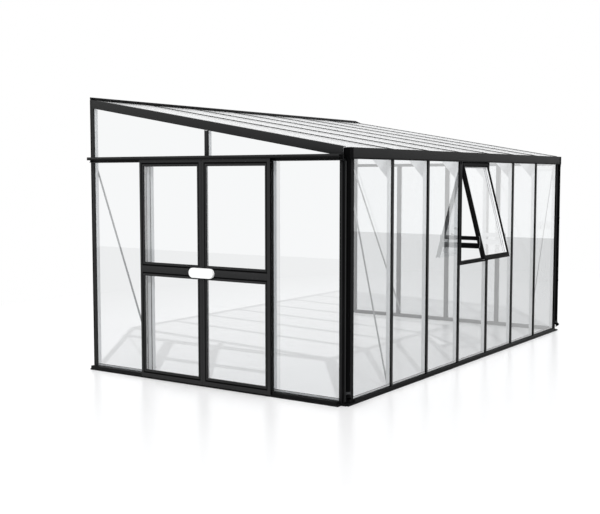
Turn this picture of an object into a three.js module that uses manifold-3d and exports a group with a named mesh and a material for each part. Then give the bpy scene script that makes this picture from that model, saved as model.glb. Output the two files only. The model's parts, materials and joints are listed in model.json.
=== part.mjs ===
// A lean-to greenhouse: seven bays along the eave, four bays deep, with a pair of sliding
// doors in one gable and a top-hung window in the eave wall. Millimetres, +Z up.
// Local axes while building: x runs along the eave from the door gable's outer face,
// y runs from the eave wall's outer face to the open back, z is height.
import * as THREE from 'three';
import { mergeVertices } from 'three/addons/utils/BufferGeometryUtils.js';
import Module from 'manifold-3d';

const wasm = await Module();
wasm.setup();

// Overall layout
const bayPitch = 700;
const eaveBays = 7;
const gableBays = 4;
const cornerInset = 97;        // gable face to the eave wall's first bar line
const eaveInset = 101;         // eave face to the gable's first bar line
const wallInset = 78;          // last gable bar line to the open back
const eaveTop = 2181;          // roof plane height above the eave face
const roofPitchDegrees = 9.8;
const seat = 0.3;              // air between two pieces that rest on each other
const overrun = 5;             // how far a cut or a lap runs past the face it meets

// Bars and glass
const frameDepth = 55;
const postWidth = 34;
const studWidth = 40;
const jambWidth = 77;
const wallPostWidth = 39;
const glassSet = 8;            // outer face of a bar to the glass
const glassThickness = 4;
const glassPlay = 0.5;
const grooveBite = 12;
const edgePlay = 1;

// Far gable, whose bays are a little wider than the door gable's
const farPitch = 724;
const farInset = 82;

// Sills
const sillHeight = 39;
const sillNose = 18;
const sillChamfer = 8;
const footPlateHeight = 15;
const footPlateInset = 14;
const gableSillStart = 47;
const doorSillNose = 44;
const doorSillToe = 54;

// Corner posts, notched for the downpipe
const cornerWidth = 121;
const cornerDepth = 70;
const notchWidth = 60;
const notchDepth = 24;

// Knee plates, from the eave posts to the roof bars
const kneeReach = 220;
const kneeDrop = 170;          // gutter's underside down to the plate's foot
const kneeThickness = 6;

// Gutter and downpipe
const gutterFront = 20;
const gutterBack = 40;
const gutterDrop = 97;         // roof plane to the gutter's underside
const gutterHeight = 96;
const gutterBackHeight = 76;
const gutterWall = 3;
const outletStart = 13;
const outletEnd = 74;
const outletWall = 4;
const pipeRadius = 20;
const pipeWall = 3;
const pipeInset = 34;
const pipeOffset = 0.7;
const shoeHeight = 98;
const shoeLength = 42;
const shoeSlopeDegrees = 45;
const collarRadius = 22.5;
const collarHeight = 23;
const pipeSides = 20;

// Roof
const rafterHeight = 84;
const capThickness = 4;
const panelThickness = 10;
const roofBarWidth = 30;
const roofBarHeight = 70;
const roofCapWidth = 40;
const roofWebWidth = 10;
const rafterLip = 10;
const panelOverhang = 8;
const wallPlateThickness = 6;
const wallPlateDrop = 83.5;    // below the roof plane at the open back
const wallPlateRise = 20.5;    // above it
const wallBeamDepth = 54;
const flashingWidth = 75;
const flashingThickness = 4;
const panelStrip = 38;

// Gable header and the doors' hanging track
const headerDrop = 14;         // gutter's underside to the header's
const headerHeight = 38;
const trackStart = 28;
const trackEnd = 2953;
const trackOut = 80;
const trackRise = 16;          // header's top to the hood's
const trackLip = 27;
const trackLipSheet = 3;
const trackBackSheet = 4;
const hoodSheet = 6;
const hoodClearance = 40;      // ledge to the underside of the hood
const ledgeThickness = 6;
const ledgeWidth = 45;

// Sliding doors
const leafWidth = 763;
const leafPlay = 2;            // between the two leaves where they meet
const leafRise = 26;           // ledge to the leaf's top
const leafBottom = 18;
const leafFront = 76;
const leafBack = 46;
const leafSkin = 17;
const stileWidth = 48;
const doorTopRail = 68;
const doorBottomRail = 65;
const midRailBottom = 1003;
const midRailHeight = 117;
const rebate = 10;
const handleLength = 153;
const handleHeight = 90;
const handleThickness = 18;
const handleDrop = 5.5;        // mid rail's middle down to the handle's
const handleSteps = 12;
const wheelRadius = 11;
const wheelWidth = 7;
const wheelInset = 90;
const axleRadius = 4;
const axlePlay = 0.3;
const axleProud = 1;
const wheelSides = 24;

// Top-hung window in the middle bay of the eave wall
const windowBay = 3;
const casementGap = 8;
const casementDepth = 36;
const casementProud = 14;      // its front ring stands out past the wall's face
const casementDrop = 996;      // hinge axis to the casement's bottom edge
const casementSkin = 16;
const casementStile = 34;
const casementTopRail = 40;
const casementRail = 36;
const hingePlay = 0.4;
const windowOpenDegrees = 15;
const transomHeight = 32;
const transomPlay = 1.4;
const surroundWidth = 8;       // lip round the window bay
const surroundProud = 14;
const stayThickness = 6.4;
const stayPivotRise = 172;     // casement's bottom edge up to the stays' pivot
const stayPivotBack = 16;
const stayTail = 251;
const stayTopBar = 32;
const stayBottomBar = 40;
const staySlot = 34;
const stayPinRadius = 2.5;
const stayPinBack = 37;        // eave face in to the pin that each stay slides on
const stayPinDrop = 14;        // stay's pivot down to that pin
const hingeSides = 24;

// Diagonal bracing
const braceWidth = 22;
const braceThickness = 3;
const braceTop = 2035;
const braceFoot = 80;
const braceWallInset = 20;
const braceCornerInset = 90;

const gableLength = eaveInset + gableBays * bayPitch + wallInset;
const eaveLength = 2 * cornerInset + eaveBays * bayPitch;
const slope = Math.tan(THREE.MathUtils.degToRad(roofPitchDegrees));
const glassBack = glassSet + glassThickness;
const panelTop = capThickness + glassPlay;
const panelBottom = panelTop + panelThickness;
const ledgeDrop = panelBottom + glassPlay;
const gutterBottom = eaveTop - gutterDrop;
const postTop = gutterBottom - seat;
const headerBottom = gutterBottom - headerDrop;
const headerTop = headerBottom + headerHeight;
const trackTop = headerTop + trackRise;
const ledgeTop = trackTop - hoodSheet - hoodClearance;
const leafTop = ledgeTop + leafRise;
const midRailTop = midRailBottom + midRailHeight;
const handleCentre = (midRailBottom + midRailTop) / 2 - handleDrop;
const postFoot = sillHeight + seat;

const eaveLine = (bar) => cornerInset + bar * bayPitch;
const gableLine = (bar) => eaveInset + bar * bayPitch;
const farGableLine = (bar) => farInset + bar * farPitch;
const roofHeight = (y) => eaveTop + y * slope;
const rafterUnderside = (y) => roofHeight(y) - rafterHeight;

// Materials
const paint = { color: 0x2b2d2f, roughness: 0.5, metalness: 0.2 };
const clear = { color: 0xdfe8ea, roughness: 0.05, metalness: 0, transparent: true, opacity: 0.3 };
const milky = { color: 0xe9edee, roughness: 0.3, metalness: 0, transparent: true, opacity: 0.7 };
const blackPlastic = { color: 0x0d0d0e, roughness: 0.45, metalness: 0 };
const whitePlastic = { color: 0xf4f4f2, roughness: 0.35, metalness: 0 };
const bareMetal = { color: 0xb4b8ba, roughness: 0.35, metalness: 0.9 };
const nylon = { color: 0x1a1a1a, roughness: 0.6, metalness: 0 };

const greenhouse = new THREE.Group();

function addPiece(name, geometry, look, parent = greenhouse) {
  const mesh = new THREE.Mesh(geometry, new THREE.MeshStandardMaterial(look));
  mesh.name = name;
  parent.add(mesh);
  return mesh;
}

// Solids: a closed geometry as a boolean solid, and back again
function toSolid(geometry) {
  const bare = geometry.clone();
  bare.deleteAttribute('normal');
  bare.deleteAttribute('uv');
  const merged = mergeVertices(bare);
  return new wasm.Manifold(new wasm.Mesh({
    numProp: 3,
    vertProperties: new Float32Array(merged.attributes.position.array),
    triVerts: new Uint32Array(merged.index.array),
  }));
}

function toGeometry(solid) {
  const mesh = solid.getMesh();
  const geometry = new THREE.BufferGeometry();
  geometry.setAttribute('position', new THREE.BufferAttribute(mesh.vertProperties, mesh.numProp));
  geometry.setIndex(new THREE.BufferAttribute(mesh.triVerts, 1));
  geometry.computeVertexNormals();
  return geometry;
}

function join(...geometries) {
  return toGeometry(geometries.map(toSolid).reduce((whole, solid) => whole.add(solid)));
}

function cut(geometry, ...cutters) {
  const whole = toSolid(geometry);
  return toGeometry(cutters.map(toSolid).reduce((left, solid) => left.subtract(solid), whole));
}

// Extrusions: an outline in one plane, drawn out along the third axis
function outline(points, holes = []) {
  const shape = new THREE.Shape(points.map(([u, v]) => new THREE.Vector2(u, v)));
  for (const hole of holes) {
    shape.holes.push(new THREE.Path(hole.map(([u, v]) => new THREE.Vector2(u, v))));
  }
  return shape;
}

function extrude(shape, depth) {
  return new THREE.ExtrudeGeometry(shape, { depth, bevelEnabled: false, curveSegments: handleSteps });
}

function upward(xyPoints, bottom, top) {
  return extrude(outline(xyPoints), top - bottom).translate(0, 0, bottom);
}

const alongXBasis = new THREE.Matrix4().makeBasis(
  new THREE.Vector3(0, 1, 0), new THREE.Vector3(0, 0, 1), new THREE.Vector3(1, 0, 0));
const alongYBasis = new THREE.Matrix4().makeBasis(
  new THREE.Vector3(1, 0, 0), new THREE.Vector3(0, 0, 1), new THREE.Vector3(0, -1, 0));

function alongX(yzShape, start, end) {
  return extrude(yzShape, end - start).applyMatrix4(alongXBasis).translate(start, 0, 0);
}

function alongY(xzShape, start, end) {
  return extrude(xzShape, end - start).applyMatrix4(alongYBasis).translate(0, end, 0);
}

// A shape whose heights are measured from the roof plane, sheared up the slope
const roofShear = new THREE.Matrix4().set(
  1, 0, 0, 0,
  0, 1, 0, 0,
  0, slope, 1, eaveTop,
  0, 0, 0, 1);

function alongRoof(xDropPoints, start, end) {
  const drawn = outline(xDropPoints.map(([x, drop]) => [x, -drop]));
  return alongY(drawn, start, end).applyMatrix4(roofShear);
}

function onRoof(xyPoints, upperDrop, lowerDrop) {
  return upward(xyPoints, -lowerDrop, -upperDrop).applyMatrix4(roofShear);
}

const rectangle = (u0, v0, u1, v1) => [[u0, v0], [u1, v0], [u1, v1], [u0, v1]];

// A bar seen end-on, with glazing grooves in the sides asked for: u across, v inwards
function groovedBar(u0, u1, grooves) {
  const front = glassSet - glassPlay;
  const back = glassBack + glassPlay;
  const points = [[u0, 0], [u1, 0]];
  if (grooves.high) {
    points.push([u1, front], [u1 - grooveBite, front], [u1 - grooveBite, back], [u1, back]);
  }
  points.push([u1, frameDepth], [u0, frameDepth]);
  if (grooves.low) {
    points.push([u0, back], [u0 + grooveBite, back], [u0 + grooveBite, front], [u0, front]);
  }
  return points;
}

// The three glazed walls share one drawing: u along the wall, v inwards from its outer face
const walls = {
  eave: { plan: ([u, v]) => [u, v], draw: alongX, place: (v) => v },
  doorGable: { plan: ([u, v]) => [v, u], draw: alongY, place: (v) => v },
  farGable: { plan: ([u, v]) => [eaveLength - v, u], draw: alongY, place: (v) => eaveLength - v },
};

function wallBar(wall, centre, width, grooves, foot, top) {
  const points = groovedBar(centre - width / 2, centre + width / 2, grooves);
  return upward(points.map(wall.plan), foot, top);
}

function wallRail(wall, vzPoints, start, end) {
  return wall.draw(outline(vzPoints.map(([v, z]) => [wall.place(v), z])), start, end);
}

// A pane in a wall: an outline in u and z, as thick as the glass
function wallPane(wall, uzPoints) {
  const shape = outline(uzPoints);
  if (wall === walls.eave) {
    return alongY(shape, glassSet, glassBack);
  }
  const front = Math.min(wall.place(glassSet), wall.place(glassBack));
  return alongX(shape, front, front + glassThickness);
}

// Panes that share a sill or header groove are one comb: a strip in the groove, one tooth a pane
function combPoints(stripLow, stripHigh, teeth) {
  const start = teeth[0].start;
  const end = teeth[teeth.length - 1].end;
  const points = [[start, stripLow], [end, stripLow]];
  for (const tooth of [...teeth].reverse()) {
    points.push([tooth.end, stripHigh], [tooth.end, tooth.endTop]);
    points.push([tooth.start, tooth.startTop], [tooth.start, stripHigh]);
  }
  return points.filter(([u, z], index) => {
    const [nextU, nextZ] = points[(index + 1) % points.length];
    return u !== nextU || z !== nextZ;
  });
}

const paneInset = (width) => width / 2 - grooveBite + edgePlay;

function levelTooth(start, end, top) {
  return { start, end, startTop: top, endTop: top };
}

// Sills
const groovePoints = (top) => [
  [glassBack + glassPlay, top], [glassBack + glassPlay, top - grooveBite],
  [glassSet - glassPlay, top - grooveBite], [glassSet - glassPlay, top],
];
const plainSill = [
  [-sillNose, 0], [frameDepth, 0], [frameDepth, sillHeight], ...groovePoints(sillHeight),
  [sillChamfer - sillNose, sillHeight], [-sillNose, sillHeight - sillChamfer],
];
const doorSill = [
  [-doorSillToe, 0], [frameDepth, 0], [frameDepth, sillHeight], ...groovePoints(sillHeight),
  [-doorSillNose, sillHeight], [-doorSillNose, footPlateHeight], [-doorSillToe, footPlateHeight],
];

// Under a corner post a sill is only a low plate, and the gable's plate stops short of the eave's
addPiece('front_sill', join(
  wallRail(walls.eave, plainSill, cornerWidth + seat, eaveLength - cornerWidth - seat),
  upward(rectangle(footPlateInset, -sillNose, eaveLength - footPlateInset, frameDepth),
    0, footPlateHeight)), paint);

function gableSill(wall, profile, toe) {
  const sillStart = cornerDepth + seat;
  const plate = [
    [gableSillStart, -toe], [gableSillStart, footPlateInset - seat],
    [frameDepth + seat, footPlateInset - seat], [frameDepth + seat, frameDepth],
    [sillStart + overrun, frameDepth], [sillStart + overrun, -toe],
  ];
  return join(
    wallRail(wall, profile, sillStart, gableLength),
    upward(plate.map(wall.plan), 0, footPlateHeight));
}
addPiece('door_gable_sill', gableSill(walls.doorGable, doorSill, doorSillToe), paint);
addPiece('far_gable_sill', gableSill(walls.farGable, plainSill, sillNose), paint);

// Corner posts
const cornerOutline = [
  [0, notchDepth], [notchWidth, notchDepth], [notchWidth, 0], [cornerWidth, 0],
  [cornerWidth, glassSet - glassPlay], [cornerWidth - grooveBite, glassSet - glassPlay],
  [cornerWidth - grooveBite, glassBack + glassPlay], [cornerWidth, glassBack + glassPlay],
  [cornerWidth, frameDepth], [frameDepth, frameDepth], [frameDepth, cornerDepth],
  [glassBack + glassPlay, cornerDepth], [glassBack + glassPlay, cornerDepth - grooveBite],
  [glassSet - glassPlay, cornerDepth - grooveBite], [glassSet - glassPlay, cornerDepth],
  [0, cornerDepth],
];
const mirrored = (points) => points.map(([x, y]) => [eaveLength - x, y]);
const cornerFoot = footPlateHeight + seat;
const rafterStart = gutterBack + seat;
const cornerHead = rectangle(0, rafterStart, frameDepth, cornerDepth);
const cornerPost = (place) => join(
  upward(place(cornerOutline), cornerFoot, postTop),
  upward(place(cornerHead), postTop - edgePlay, rafterUnderside(rafterStart) - seat));
addPiece('near_corner_post', cornerPost((points) => points), paint);
addPiece('far_corner_post', cornerPost(mirrored), paint);

// Window bay, its hinge line and the pivots of its stays, which the posts beside it need
const bayLeft = eaveLine(windowBay) + postWidth / 2;
const bayRight = eaveLine(windowBay + 1) - postWidth / 2;
const hingeRadius = casementDepth / 2;
const hinge = new THREE.Vector3(0, hingeRadius, gutterBottom - hingePlay - hingeRadius);
const opened = new THREE.Euler(-THREE.MathUtils.degToRad(windowOpenDegrees), 0, 0);
const stayPivot = new THREE.Vector3(0, 0, stayPivotRise - casementDrop).applyEuler(opened).add(hinge);

// Eave posts, each with a knee plate up to its roof bar. The window's two carry the stays' pins
// and the lips at the window's sides
const bothSides = { low: true, high: true };
const kneeSide = kneeThickness / 2;
function kneePlate(line) {
  const foot = gutterBottom - kneeDrop;
  const tip = frameDepth + kneeReach;
  const under = (y) => roofHeight(y) - roofBarHeight - seat;
  return alongX(outline([
    [frameDepth - edgePlay, foot], [frameDepth, foot], [tip, under(tip)],
    [rafterStart, under(rafterStart)], [rafterStart, postTop - edgePlay],
    [frameDepth - edgePlay, postTop - edgePlay],
  ]), line - kneeSide, line + kneeSide);
}

function stayPin(face, side) {
  const proud = casementGap - seat;
  return new THREE.CylinderGeometry(stayPinRadius, stayPinRadius, proud + edgePlay, wheelSides)
    .rotateZ(Math.PI / 2)
    .translate(face + side * (proud - edgePlay) / 2, stayPinBack, stayPivot.z - stayPinDrop);
}

const transomTop = hinge.z - casementDrop - transomPlay;
const transomBottom = transomTop - transomHeight;
function surroundLip(from, to) {
  return alongX(outline(
    rectangle(-surroundProud, transomBottom, edgePlay, gutterBottom - seat)), from, to);
}

const windowFittings = {
  [windowBay]: [stayPin(bayLeft, 1), surroundLip(bayLeft - surroundWidth, bayLeft)],
  [windowBay + 1]: [stayPin(bayRight, -1), surroundLip(bayRight, bayRight + surroundWidth)],
};
for (let bar = 1; bar < eaveBays; bar += 1) {
  const post = wallBar(walls.eave, eaveLine(bar), postWidth, bothSides, postFoot, postTop);
  const fittings = [kneePlate(eaveLine(bar)), ...(windowFittings[bar] ?? [])];
  addPiece(`front_post_${bar}`, join(post, ...fittings), paint);
}

// Gable posts and studs
const wallPostCentre = gableLength - wallPostWidth / 2;
const wallPostTop = rafterUnderside(gableLength - wallPostWidth) - seat;
addPiece('door_gable_wall_post',
  wallBar(walls.doorGable, wallPostCentre, wallPostWidth, { low: true }, postFoot, wallPostTop), paint);
addPiece('far_gable_wall_post',
  wallBar(walls.farGable, wallPostCentre, wallPostWidth, { low: true }, postFoot, wallPostTop), paint);

const studTop = headerBottom - seat;
const middleLine = gableLine(gableBays / 2);
const rightJamb = gableLine(1);
const leftJamb = gableLine(gableBays - 1);
addPiece('right_door_jamb',
  wallBar(walls.doorGable, rightJamb, jambWidth, { low: true }, postFoot, studTop), paint);
addPiece('left_door_jamb',
  wallBar(walls.doorGable, leftJamb, jambWidth, { high: true }, postFoot, studTop), paint);
for (let bar = 1; bar < gableBays; bar += 1) {
  addPiece(`far_gable_stud_${bar}`,
    wallBar(walls.farGable, farGableLine(bar), studWidth, bothSides, postFoot, studTop), paint);
}
const farMiddleLine = farGableLine(gableBays / 2);
const mullion = (wall, line) => wallBar(wall, line, studWidth, bothSides,
  headerTop + seat, rafterUnderside(line - studWidth / 2) - seat);
addPiece('door_gable_mullion', mullion(walls.doorGable, middleLine), paint);
addPiece('far_gable_mullion', mullion(walls.farGable, farMiddleLine), paint);

// Headers: a rail grooved above and below, and on the door gable the hanging track in front of it
const headerStart = cornerDepth + seat;
const headerEnd = gableLength - wallPostWidth - seat;
const headerProfile = (outer) => [
  [outer, headerBottom], [glassSet - glassPlay, headerBottom],
  [glassSet - glassPlay, headerBottom + grooveBite], [glassBack + glassPlay, headerBottom + grooveBite],
  [glassBack + glassPlay, headerBottom], [frameDepth, headerBottom], [frameDepth, headerTop],
  ...groovePoints(headerTop), [outer, headerTop],
];
const trackBack = -seat;
const trackFront = trackBack - trackBackSheet;
const trackProfile = [
  [trackBack, trackTop], [-trackOut, trackTop], [-trackOut, trackTop - trackLip],
  [trackLipSheet - trackOut, trackTop - trackLip], [trackLipSheet - trackOut, trackTop - hoodSheet],
  [trackFront, trackTop - hoodSheet], [trackFront, ledgeTop], [-ledgeWidth, ledgeTop],
  [-ledgeWidth, ledgeTop - ledgeThickness], [trackBack, ledgeTop - ledgeThickness],
];
addPiece('door_header_track', join(
  wallRail(walls.doorGable, headerProfile(-trackBackSheet / 2), headerStart, headerEnd),
  wallRail(walls.doorGable, trackProfile, trackStart, trackEnd)), paint);
addPiece('far_gable_header', wallRail(walls.farGable, headerProfile(0), headerStart, headerEnd), paint);

// Rafters over the gables
const rafterOutline = [
  [0, 0], [frameDepth, 0], [frameDepth, capThickness], [frameDepth - rafterLip, capThickness],
  [frameDepth - rafterLip, ledgeDrop], [frameDepth, ledgeDrop], [frameDepth, rafterHeight],
  [glassBack + glassPlay, rafterHeight], [glassBack + glassPlay, rafterHeight - grooveBite],
  [glassSet - glassPlay, rafterHeight - grooveBite], [glassSet - glassPlay, rafterHeight],
  [0, rafterHeight],
];
const rafterEnd = gableLength - wallPlateThickness - seat;
addPiece('door_gable_rafter', alongRoof(rafterOutline, rafterStart, rafterEnd), paint);
addPiece('far_gable_rafter', alongRoof(mirrored(rafterOutline), rafterStart, rafterEnd), paint);

// Roof bars: a cap and web over the whole panel, a box bar from the gutter to the wall beam
function roofBar(centre) {
  const halfCap = roofCapWidth / 2;
  const halfWeb = roofWebWidth / 2;
  const capAndWeb = [
    [centre - halfCap, 0], [centre + halfCap, 0], [centre + halfCap, capThickness],
    [centre + halfWeb, capThickness], [centre + halfWeb, ledgeDrop + overrun],
    [centre - halfWeb, ledgeDrop + overrun], [centre - halfWeb, capThickness],
    [centre - halfCap, capThickness],
  ];
  const box = rectangle(centre - roofBarWidth / 2, ledgeDrop, centre + roofBarWidth / 2, roofBarHeight);
  const end = gableLength - wallBeamDepth - seat;
  return join(alongRoof(capAndWeb, -panelOverhang, end), alongRoof(box, rafterStart, end));
}
for (let bar = 1; bar < eaveBays; bar += 1) {
  addPiece(`roof_bar_${bar}`, roofBar(eaveLine(bar)), paint);
}

// Wall bar: an upright plate along the open back, its flashing over the roof, and the bars' beam
const flashingEdge = gableLength - flashingWidth;
const plateFace = gableLength - wallPlateThickness;
const wallPlateTop = roofHeight(gableLength) + wallPlateRise;
const wallPlateBottom = roofHeight(gableLength) - wallPlateDrop;
const plateOutline = [
  [gableLength, wallPlateBottom], [gableLength, wallPlateTop], [plateFace, wallPlateTop],
  [flashingEdge, roofHeight(flashingEdge) + glassPlay + flashingThickness],
  [flashingEdge, roofHeight(flashingEdge) + glassPlay],
  [plateFace, roofHeight(plateFace) + glassPlay], [plateFace, wallPlateBottom],
];
const beamStart = gableLength - wallBeamDepth;
const beamEnd = plateFace + wallPlateThickness / 2;
const beamOutline = [
  [beamStart, roofHeight(beamStart) - roofBarHeight], [beamEnd, roofHeight(beamStart) - roofBarHeight],
  [beamEnd, roofHeight(beamEnd) - ledgeDrop], [beamStart, roofHeight(beamStart) - ledgeDrop],
];
addPiece('wall_bar', join(
  alongX(outline(plateOutline), 0, eaveLength),
  alongX(outline(beamOutline), frameDepth + seat, eaveLength - frameDepth - seat)), paint);

// Roof panels: seven panels that join out of sight under the flashing
const roofEdges = [frameDepth - rafterLip + edgePlay];
for (let bar = 1; bar < eaveBays; bar += 1) {
  roofEdges.push(eaveLine(bar) - roofWebWidth / 2 - edgePlay, eaveLine(bar) + roofWebWidth / 2 + edgePlay);
}
roofEdges.push(eaveLength - roofEdges[0]);
const roofStrip = gableLength - wallBeamDepth + edgePlay;
const roofTeeth = [];
for (let panel = 0; panel < eaveBays; panel += 1) {
  roofTeeth.push(levelTooth(roofEdges[2 * panel], roofEdges[2 * panel + 1], -panelOverhang));
}
const roofPanels = combPoints(roofStrip + panelStrip, roofStrip, roofTeeth);
addPiece('roof_panels', onRoof(roofPanels, panelTop, panelBottom), milky);

// Eave gutter, with a black outlet and downpipe at each end
const gutterTop = gutterBottom + gutterHeight;
const trough = (sheet) => [
  [-gutterFront, gutterBottom], [gutterBack, gutterBottom],
  [gutterBack, gutterBottom + gutterBackHeight], [gutterBack - sheet, gutterBottom + gutterBackHeight],
  [gutterBack - sheet, gutterBottom + sheet], [sheet - gutterFront, gutterBottom + sheet],
  [sheet - gutterFront, gutterTop], [-gutterFront, gutterTop],
];
addPiece('eave_gutter',
  alongX(outline(trough(gutterWall)), outletEnd + seat, eaveLength - outletEnd - seat), paint);

function downpipe() {
  const elbow = new THREE.Vector3(pipeInset, pipeOffset, shoeHeight);
  const outward = new THREE.Vector3(-1, -1, 0).normalize();
  const tilt = THREE.MathUtils.degToRad(shoeSlopeDegrees);
  const aim = outward.clone().multiplyScalar(Math.cos(tilt)).setZ(-Math.sin(tilt));
  const turn = new THREE.Quaternion().setFromUnitVectors(new THREE.Vector3(0, 1, 0), aim);
  const upright = (radius, foot, head) => new THREE.CylinderGeometry(radius, radius, head - foot, pipeSides)
    .rotateX(Math.PI / 2).translate(pipeInset, pipeOffset, (foot + head) / 2);
  const shoe = (radius, reach) => new THREE.CylinderGeometry(radius, radius, reach, pipeSides)
    .applyQuaternion(turn).translate(...elbow.clone().addScaledVector(aim, reach / 2).toArray());
  const bend = (radius) => new THREE.SphereGeometry(radius, pipeSides, pipeSides / 2)
    .translate(...elbow.toArray());
  const endWall = alongX(outline([
    [-gutterFront, gutterBottom], [gutterBack, gutterBottom],
    [gutterBack, gutterBottom + gutterBackHeight], [-gutterFront, gutterTop],
  ]), outletStart, outletStart + outletWall);
  const outletFloor = gutterBottom + outletWall;
  const boreRadius = pipeRadius - pipeWall;
  const body = join(
    endWall,
    alongX(outline(trough(outletWall)), outletStart + outletWall / 2, outletEnd),
    upright(pipeRadius, shoeHeight, outletFloor - outletWall / 2),
    upright(collarRadius, shoeHeight, shoeHeight + collarHeight),
    bend(pipeRadius), shoe(pipeRadius, shoeLength));
  return cut(body, bend(boreRadius), shoe(boreRadius, shoeLength + overrun));
}

function mirrorEave(geometry) {
  const turned = geometry.clone().applyMatrix4(
    new THREE.Matrix4().makeScale(-1, 1, 1).setPosition(eaveLength, 0, 0));
  const order = turned.index.array;
  for (let corner = 0; corner < order.length; corner += 3) {
    [order[corner + 1], order[corner + 2]] = [order[corner + 2], order[corner + 1]];
  }
  turned.computeVertexNormals();
  return turned;
}
addPiece('near_downpipe', downpipe(), blackPlastic);
addPiece('far_downpipe', mirrorEave(downpipe()), blackPlastic);

// Glass in the eave wall: seven panes, the window bay's one stopping under the window
const frontStripLow = sillHeight - grooveBite + edgePlay;
const frontStripHigh = sillHeight - edgePlay;
const frontTop = gutterBottom - edgePlay;
const frontTeeth = [];
for (let bay = 0; bay < eaveBays; bay += 1) {
  const first = cornerWidth - grooveBite + edgePlay;
  const start = bay === 0 ? first : eaveLine(bay) + paneInset(postWidth);
  const end = bay === eaveBays - 1 ? eaveLength - first : eaveLine(bay + 1) - paneInset(postWidth);
  const top = bay === windowBay ? transomBottom + grooveBite - edgePlay : frontTop;
  frontTeeth.push(levelTooth(start, end, top));
}
addPiece('front_panes', wallPane(walls.eave, combPoints(frontStripLow, frontStripHigh, frontTeeth)), clear);

// Glass in the gables
const lowerTop = headerBottom + grooveBite - edgePlay;
const wallEdge = gableLength - wallPostWidth + grooveBite - edgePlay;
const cornerEdge = cornerDepth - grooveBite + edgePlay;
const upperStart = headerStart + edgePlay;
addPiece('door_gable_left_pane', wallPane(walls.doorGable,
  rectangle(leftJamb + paneInset(jambWidth), frontStripLow, wallEdge, lowerTop)), clear);
addPiece('door_gable_right_pane', wallPane(walls.doorGable,
  rectangle(cornerEdge, frontStripLow, rightJamb - paneInset(jambWidth), lowerTop)), clear);

const upperSlot = paneInset(studWidth);
const upperTop = (y) => rafterUnderside(y) + grooveBite - edgePlay;
function upperPanes(wall, middle) {
  const teeth = [[upperStart, middle - upperSlot], [middle + upperSlot, wallEdge]]
    .map(([start, end]) => ({ start, end, startTop: upperTop(start), endTop: upperTop(end) }));
  return wallPane(wall, combPoints(headerTop - grooveBite + edgePlay, headerTop - edgePlay, teeth));
}
addPiece('door_gable_upper_panes', upperPanes(walls.doorGable, middleLine), clear);
addPiece('far_gable_upper_panes', upperPanes(walls.farGable, farMiddleLine), clear);

const farTeeth = [];
for (let bay = 0; bay < gableBays; bay += 1) {
  const start = bay === 0 ? cornerEdge : farGableLine(bay) + upperSlot;
  const end = bay === gableBays - 1 ? wallEdge : farGableLine(bay + 1) - upperSlot;
  farTeeth.push(levelTooth(start, end, lowerTop));
}
addPiece('far_gable_lower_panes',
  wallPane(walls.farGable, combPoints(frontStripLow, frontStripHigh, farTeeth)), clear);

// Diagonal braces, flat on the inside of the wall-side gable bays and of the two end eave bays
function brace(length, turn, middle, thicknessAxis) {
  const size = thicknessAxis === 'x'
    ? [braceThickness, length, braceWidth]
    : [length, braceThickness, braceWidth];
  const bar = new THREE.BoxGeometry(...size);
  if (thicknessAxis === 'x') {
    bar.rotateX(turn);
  } else {
    bar.rotateY(-turn);
  }
  return bar.translate(...middle);
}
const braceHeight = braceTop - braceFoot;
const braceMiddle = (braceTop + braceFoot) / 2;
const braceDepth = frameDepth + seat + braceThickness / 2;
const gableRun = gableLength - braceWallInset - leftJamb;
const eaveRun = eaveLine(1) - braceCornerInset;
const gableBraceY = leftJamb + gableRun / 2;
const eaveBraceX = braceCornerInset + eaveRun / 2;
addPiece('door_gable_brace', brace(Math.hypot(gableRun, braceHeight),
  Math.atan2(braceHeight, gableRun), [braceDepth, gableBraceY, braceMiddle], 'x'), bareMetal);
addPiece('far_gable_brace', brace(Math.hypot(gableRun, braceHeight),
  Math.atan2(braceHeight, gableRun), [eaveLength - braceDepth, gableBraceY, braceMiddle], 'x'), bareMetal);
addPiece('near_eave_brace', brace(Math.hypot(eaveRun, braceHeight),
  Math.atan2(-braceHeight, eaveRun), [eaveBraceX, braceDepth, braceMiddle], 'y'), bareMetal);
addPiece('far_eave_brace', brace(Math.hypot(eaveRun, braceHeight),
  Math.atan2(braceHeight, eaveRun), [eaveLength - eaveBraceX, braceDepth, braceMiddle], 'y'), bareMetal);

// Sliding doors: each leaf hangs on two wheels that run on the track's ledge
const wheelCentreZ = ledgeTop + axlePlay + wheelRadius;

function leafOutline(start, end) {
  const inner = [start + stileWidth, end - stileWidth];
  return {
    outer: rectangle(start, leafBottom, end, leafTop),
    low: rectangle(inner[0], leafBottom + doorBottomRail, inner[1], midRailBottom),
    high: rectangle(inner[0], midRailTop, inner[1], leafTop - doorTopRail),
    whole: rectangle(inner[0] - rebate, leafBottom + doorBottomRail - rebate,
      inner[1] + rebate, leafTop - doorTopRail + rebate),
  };
}

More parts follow.
